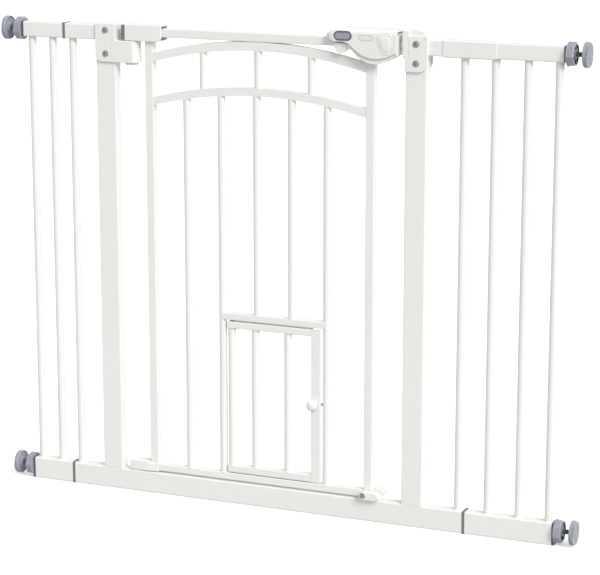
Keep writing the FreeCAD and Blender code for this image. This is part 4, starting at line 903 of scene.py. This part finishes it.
# thumb pads: a rim, a shallow groove inside it, and a raised cushion
THUMB_RINGS = [(1.0, -0.2), (0.985, 0.35), (0.955, 0.62), (0.915, 0.66), (0.87, 0.50), (0.83, 0.30),
               (0.79, 0.34), (0.75, 0.62), (0.70, 0.98), (0.62, 1.32), (0.50, 1.52), (0.34, 1.60), (0.17, 1.63)]
bm = cushion_patch(THUMB, THUMB_RINGS, 0, 0, side=-1, foot=1.4)
bm = cushion_patch(THUMB, THUMB_RINGS, 0, 0, side=1, foot=1.4, bm=bm)
obj = place("thumb_cushions", bm, "handle", MATS["white_plastic"], sharp=50)
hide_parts("thumb_pads")

# lock button: rim painted darker as the shadow in the gap round it, lighter dished face
pill = pill_points(92.0, 120.0, 763.8, 13.6)
cz = 763.8


def pill_offset(d):
    return pill_points(92.0 + d, 120.0 - d, 763.8, 13.6 - 2 * d)


bm = bmesh.new()
levels = [(0.0, -17.35), (0.0, -22.9), (0.25, -23.3), (0.7, -23.5), (1.2, -23.45), (1.55, -23.1), (1.75, -22.9),
          (2.1, -23.15), (2.7, -23.4), (3.6, -23.35), (4.6, -23.25), (5.6, -23.2)]
rows = [[bm.verts.new((px, y, pz)) for px, pz in pill_offset(d)] for d, y in levels]
n = len(rows[0])
rim_faces = []
# the outer rows, the rim, take the painted shade; the dished face keeps the grey
for k, (a, b) in enumerate(zip(rows, rows[1:])):
    for i in range(n):
        f = bm.faces.new((a[i], a[(i + 1) % n], b[(i + 1) % n], b[i]))
        f.material_index = 0 if k < 7 else 1
f = bm.faces.new(rows[-1])
f.material_index = 1
bm.faces.new(rows[0][::-1])
obj = place("lock_button_cap", bm, "lock_button", [BUTTON_RIM_PAINTED_SHADE, MATS["grey_plastic"]], sharp=40)
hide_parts("lock_button")

# plain oval badge: a thin outline round a blank face, no lettering
def oval(cx_, cz_, a, b, n=56):
    return [(cx_ + a * math.copysign(abs(math.cos(2 * PI * i / n)) ** 0.82, math.cos(2 * PI * i / n)),
             cz_ + b * math.sin(2 * PI * i / n)) for i in range(n)]


bm = bmesh.new()
ov = oval(143.6, 762.3, 12.2, 4.7)
levels = [(1.0, -0.4), (1.0, 0.15), (0.985, 0.40), (0.955, 0.48), (0.925, 0.40), (0.905, 0.20), (0.86, 0.16),
          (0.6, 0.22), (0.3, 0.25)]
rows = []
for s, hgt in levels:
    rows.append([bm.verts.new((143.6 + (px - 143.6) * (1 - (1 - s) * (0.6 if s > 0.8 else 1)),
                               shell_front(px, 762.3 + (pz - 762.3) * s) - hgt,
                               762.3 + (pz - 762.3) * (1 - (1 - s) * (1.35 if s > 0.8 else 1)))) for px, pz in ov])
n = len(ov)
for k, (a, b) in enumerate(zip(rows, rows[1:])):
    for i in range(n):
        f = bm.faces.new((a[i], a[(i + 1) % n], b[(i + 1) % n], b[i]))
        f.material_index = 0 if k < 5 else 1
f = bm.faces.new(rows[-1])
f.material_index = 1
bm.faces.new(rows[0][::-1])
obj = place("plain_oval_badge", bm, "handle", [GOLD, CREAM], sharp=50)

# ------------------------------------------------------------------ handle base
base = rounded([(112.0, 756.0, 1.3), (112.0, 744.5, 3.0), (119.0, 742.0, 4.0), (127.0, 733.5, 4.0),
                (135.0, 727.8, 6.0), (142.0, 724.6, 6.0), (149.0, 722.8, 6.0), (158.0, 722.3, 8.0),
                (167.0, 724.4, 8.0), (178.0, 729.6, 8.0), (191.3, 737.4, 1.3), (191.3, 765.0, 1.3),
                (187.6, 767.0, 1.3), (183.2, 769.2, 1.3), (177.0, 769.6, 2.0), (174.0, 766.0, 1.5),
                (172.0, 762.6, 1.5), (121.4, 762.6, 1.3), (121.4, 756.0, 1.3)], 4)
tools = [block(105, 168.0, -7, 7, 746, 760), block(168.0, 195, -5.65, 5.65, 747.35, 758.65),
         block(138.0, 152.0, -7, 7, 715, 746.2)]
bm = prism(base, -19.5, 19.5)
soften(bm, 1.2, 4, above=60)
bm = carve(bm, tools)
obj = place("handle_base_moulding", split(bm), "door", MATS["white_plastic"])
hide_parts("handle_base")

bm = sweep(even(32), turned([(0, 0), (2.0, 0), (2.45, 0.4), (2.45, 43.2), (2.0, 43.6), (0, 43.6)]),
           toward_front(180.0, 764.0, 21.8))
obj = place("handle_pin_turned", bm, "door", MATS["plated_steel"], sharp=30)
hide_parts("handle_pivot_pin")

# ------------------------------------------------------------------ release trigger
fin = rounded([(88.4, 752.7, 1.3), (88.4, 748.4, 2.5), (95.0, 738.6, 3.0), (99.5, 736.3, 3.5),
               (105.5, 737.6, 4.0), (110.9, 741.6, 3.0), (110.9, 752.7, 1.3)], 5)
bm = prism(fin, -17.5, -8.5)
soften(bm, 1.2, 4, above=60)
grip = []
for i in range(4):
    gx = 95.2 + 3.3 * i
    grip.append(upright(gx, -18.35, 1.1, 742.0, 751.5, 20))
bm = carve(bm, grip)
obj = place("release_trigger_fin", split(bm), "release_trigger", MATS["white_plastic"])
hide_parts("release_trigger")

# ------------------------------------------------------------------ latch bolt
bm = bmesh.new()
q = rounded([(-5.5, -5.5, 0.9), (5.5, -5.5, 0.9), (5.5, 5.5, 0.9), (-5.5, 5.5, 0.9)], 5)
rows = []
for xx, s in ((140.0, 0.93), (140.5, 1.0), (194.6, 1.0), (195.9, 0.965), (196.9, 0.86), (197.4, 0.76)):
    rows.append([bm.verts.new((xx, u * s, 753.0 + v * s)) for u, v in q])
for a, b in zip(rows, rows[1:]):
    for i in range(len(q)):
        bm.faces.new((a[i], a[(i + 1) % len(q)], b[(i + 1) % len(q)], b[i]))
bm.faces.new(rows[0][::-1])
bm.faces.new(rows[-1])
obj = place("latch_bolt_bar", bm, "latch_bolt", BRIGHT, sharp=30)
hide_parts("latch_bolt")

# ------------------------------------------------------------------ stop fork
SX, SZ = 141.0, 43.8
arm = rounded([(SX - 4.9, SZ - 4.6, 3.0), (SX - 1.5, 36.4, 4.0), (SX + 20.0, 36.4, 4.0),
               (SX + 25.8, 38.6, 3.5), (SX + 27.0, 42.8, 3.0), (SX + 24.8, 47.4, 4.0),
               (SX + 19.0, 50.4, 6.0), (SX + 1.0, SZ + 6.6, 7.0), (SX - 4.8, SZ + 5.0, 5.0),
               (SX - 6.6, SZ + 0.2, 5.0)], 4)
bm = bmesh.new()
for y0, y1, out in ((-19.0, -9.0, -1), (9.0, 19.0, 1)):
    tools = [disc(SX, SZ, 4.75, (y0 - 1) if out < 0 else (y1 - 0.5), (y0 + 0.5) if out < 0 else (y1 + 1))]
    one = prism(arm, y0, y1)
    soften(one, 1.5, 4, above=60)
    one = split(carve(one, tools))
    me = bpy.data.meshes.new("t")
    one.to_mesh(me)
    one.free()
    bm.from_mesh(me)
    bpy.data.meshes.remove(me)
    # raised collar round the pin head
    f = -1 if out < 0 else 1
    base_y = y0 + 0.3 if out < 0 else y1 - 0.3
    pts = [(4.75, 0.0), (6.1, 0.0), (6.1, 0.75), (5.8, 1.1), (5.35, 1.2), (4.9, 1.05), (4.75, 0.7)]
    sweep(even(40), lambda a: pts, (lambda u, v, w, f=f, b0=base_y: (SX + u, b0 + f * w, SZ + v)), closed=True, bm=bm)
obj = place("stop_fork_arms", bm, "stop_fork", MATS["white_plastic"])
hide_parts("stop_arms")
bm = sweep(even(40), turned([(0, 0), (3.3, 0), (4.0, 0.35), (4.25, 0.9), (4.25, 1.9), (2.5, 1.9), (2.5, 39.3),
                             (4.25, 39.3), (4.25, 40.3), (4.0, 40.85), (3.3, 41.2), (0, 41.2)]),
           toward_front(SX, SZ, 20.6))
cuts = []
for y0, y1 in ((-22, -19.6), (19.6, 22)):
    cuts.append(prism([(SX + 2.1 * math.cos(PI / 3 * i + 0.3), SZ + 2.1 * math.sin(PI / 3 * i + 0.3)) for i in range(6)], y0, y1))
bm = carve(bm, cuts)
obj = place("stop_pin_screw", split(bm), "stop_fork", MATS["plated_steel"], sharp=30)
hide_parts("stop_pin")

# ------------------------------------------------------------------ cat door knob and bolt
KX, KZ = 51.8, 178.5


def knob_profile(a):
    ridge = 0.22 * (0.5 + 0.5 * math.cos(a * 18))
    return [(0, -0.02), (8.1, 0.0), (8.7 - ridge * 0.4, 0.45),
            (8.98 - ridge, 1.4), (8.98 - ridge, 3.4), (8.8 - ridge * 0.8, 4.9), (8.35, 6.1), (7.6, 7.2), (6.5, 8.0),
            (5.2, 8.6), (3.6, 9.05), (1.8, 9.32), (0, 9.38)]


bm = sweep(even(108), knob_profile, toward_front(KX, KZ, -6.4))
sweep(even(32), turned([(0, -5.4), (1.6, -5.4), (1.95, -5.0), (1.95, 0.9), (0, 0.9)]),
      toward_front(57.0, KZ, -6.4), bm=bm)
obj = place("cat_latch_button", bm, "cat_latch", MATS["white_plastic"], sharp=45)
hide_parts("cat_latch_knob")
bm = sweep(even(36), turned([(0, 0), (1.9, 0), (2.5, 0.6), (2.5, 15.0), (2.2, 15.7), (1.5, 16.05), (0, 16.1)]),
           lambda u, v, w: (50.5 + w, 1.6 + u, 178.5 + v))
obj = place("cat_latch_rod", bm, "cat_latch", BRIGHT, sharp=35)
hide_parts("cat_latch_bolt")

# plugs in the open ends of the cat door's two rails
bm = bmesh.new()
for z0, z1 in ((52.3, 61.7), (290.8, 299.2)):
    for x0, x1 in ((-93.8, -92.1), (46.4, 48.35)):
        q = rounded([(-5.15, z0, 0.7), (5.15, z0, 0.7), (5.15, z1, 0.7), (-5.15, z1, 0.7)], 4)
        side = -1 if x0 < 0 else 1
        near, far = (x0, x1) if side < 0 else (x1, x0)
        mid = Vector((0.0, (z0 + z1) / 2))
        rows = []
        for xx, s in ((far, 1.0), (near - side * 0.35, 1.0), (near - side * 0.1, 0.97), (near, 0.92)):
            rows.append([bm.verts.new((xx, u * s, mid.y + (v - mid.y) * s)) for u, v in q])
        for a, b in zip(rows, rows[1:]):
            for i in range(len(q)):
                bm.faces.new((a[i], a[(i + 1) % len(q)], b[(i + 1) % len(q)], b[i]))
        bm.faces.new(rows[0][::-1])
        bm.faces.new(rows[-1])
place("cat_door_rail_plugs", split(bm), "cat_door", MATS["white_plastic"])


# ------------------------------------------------------------------ weld beads
def bead(bm, x, z, up, r=6.35, seed=0.0, y=0.0):
    """A small fillet of weld round a bar's end."""
    s = 1 if up else -1

    def profile(a):
        k = noise.noise(Vector((math.cos(a) * 2.2 + seed, math.sin(a) * 2.2, seed * 0.7)))
        ripple = 0.06 * math.sin(a * 26 + seed)
        e = 0.16 * k + ripple
        return [(r - 0.25, s * -0.05), (r + 0.78 + e, s * -0.05), (r + 0.70 + e, s * 0.25),
                (r + 0.42 + e * 0.6, s * 0.58), (r + 0.12, s * 0.86), (r - 0.25, s * 0.95)]
    sweep(even(52), profile, upward(x, y, z), closed=True, bm=bm)


bm = bmesh.new()
seed = 1.0
for bx in (-434.7, -398.1, -361.9, 292.5, 340.3, 390.1, 437.7):
    bead(bm, bx, 35.0, True, seed=seed)
    if bx not in (292.5, 340.3):
        bead(bm, bx, 738.0, False, seed=seed + 5)
    else:
        bead(bm, bx, 736.7, False, seed=seed + 5)
    seed += 1.37
place("frame_weld_beads", bm, "frame", MATS["white_steel"], sharp=60)

bm = bmesh.new()
for bx in (-163.0, -104.0, 73.4):
    bead(bm, bx, 49.5, True, seed=seed)
    seed += 1.37
for bx in (-44.2, 14.5):
    bead(bm, bx, 314.5, True, seed=seed)
    seed += 1.37
place("door_weld_beads", bm, "door", MATS["white_steel"], sharp=60)

bm = bmesh.new()
for bx in (-88.5, -47.8, 7.8):
    bead(bm, bx, 63.0, True, seed=seed)
    bead(bm, bx, 289.5, False, seed=seed + 3)
    seed += 1.37
place("cat_door_weld_beads", bm, "cat_door", MATS["white_steel"], sharp=60)


# ------------------------------------------------------------------ stage
bm = bmesh.new()
grid = [bm.verts.new((x, y, -0.0003)) for x, y in ((-14, -10), (14, -10), (14, 26), (-14, 26))]
bm.faces.new(grid)
me = bpy.data.meshes.new("floor")
bm.to_mesh(me)
bm.free()
floor = bpy.data.objects.new("floor", me)
scene.collection.objects.link(floor)
m, nodes, links = tree("pale_floor")
out = nodes.new("ShaderNodeOutputMaterial")
b = nodes.new("ShaderNodeBsdfPrincipled")
links.new(b.outputs["BSDF"], out.inputs["Surface"])
tc = nodes.new("ShaderNodeTexCoord")
nf = noise_node(nodes, links, tc.outputs["Object"], 1.2, 3.0)
links.new(blend(nodes, links, nf.outputs["Fac"], (0.945, 0.945, 0.94), (0.93, 0.93, 0.925)), b.inputs["Base Color"])
b.inputs["Roughness"].default_value = 0.95
b.inputs["Emission Color"].default_value = (1, 1, 1, 1)
b.inputs["Emission Strength"].default_value = 0.32
b.inputs["Specular IOR Level"].default_value = 0.1
me.materials.append(m)
# a white sweep: it doesn't throw light back up, so undersides stay in shade
floor.visible_diffuse = False
floor.visible_shadow = False

world = bpy.data.worlds.new("studio")
scene.world = world
world.use_nodes = True
bg = world.node_tree.nodes["Background"]
bg.inputs["Strength"].default_value = 1.17
wn, wl = world.node_tree.nodes, world.node_tree.links
wt = wn.new("ShaderNodeTexCoord")
ws = wn.new("ShaderNodeSeparateXYZ")
wl.new(wt.outputs["Generated"], ws.inputs["Vector"])
wr = ramp(wn, wl, mapped(wn, wl, ws.outputs["Z"], 0.0, 1.0, -1.0, 1.0),
          [(0.0, (0.33, 0.334, 0.34)), (0.47, (0.50, 0.50, 0.50)), (0.53, (0.69, 0.689, 0.685)),
           (1.0, (0.75, 0.749, 0.745))])
wx = mapped(wn, wl, ws.outputs["X"], 0.76, 1.08, -1.0, 1.0)
wc = blend(wn, wl, 1.0, wr.outputs["Color"], (1, 1, 1), kind="MULTIPLY")
wm = wn.new("ShaderNodeVectorMath")
wm.operation = "SCALE"
wl.new(wc, wm.inputs[0])
wl.new(wx, wm.inputs["Scale"])
wl.new(wm.outputs["Vector"], bg.inputs["Color"])


def area(name, loc, target, wide, tall, power, colour=(1, 1, 1)):
    d = bpy.data.lights.new(name, "AREA")
    d.shape = "RECTANGLE"
    d.size, d.size_y = wide, tall
    d.energy = power
    d.color = colour
    o = bpy.data.objects.new(name, d)
    scene.collection.objects.link(o)
    o.location = loc
    o.rotation_euler = (Vector(target) - Vector(loc)).to_track_quat("-Z", "Y").to_euler()
    return o


def sun(name, towards, strength, degrees, colour=(1, 1, 1)):
    d = bpy.data.lights.new(name, "SUN")
    d.energy = strength
    d.angle = math.radians(degrees)
    d.color = colour
    o = bpy.data.objects.new(name, d)
    scene.collection.objects.link(o)
    o.rotation_euler = (-Vector(towards)).to_track_quat("-Z", "Y").to_euler()
    return o


sun("soft_key", (0.65, -0.48, 0.59), 2.02, 24.0, (1.0, 0.997, 0.99))

cam = bpy.data.cameras.new("camera")
camera = bpy.data.objects.new("camera", cam)
scene.collection.objects.link(camera)
camera.location = (1.311, -3.127, 1.146)
camera.rotation_euler = (math.radians(90 - 13.01), 0.0, math.radians(22.31))
cam.sensor_width = 36.0
cam.sensor_fit = "HORIZONTAL"
cam.lens = 2222.0 / 600.0 * 36.0
cam.clip_start, cam.clip_end = 0.05, 80.0
scene.camera = camera

scene.view_settings.view_transform = "Standard"
scene.view_settings.look = "None"
scene.view_settings.exposure = 0.0
scene.view_settings.gamma = 1.0
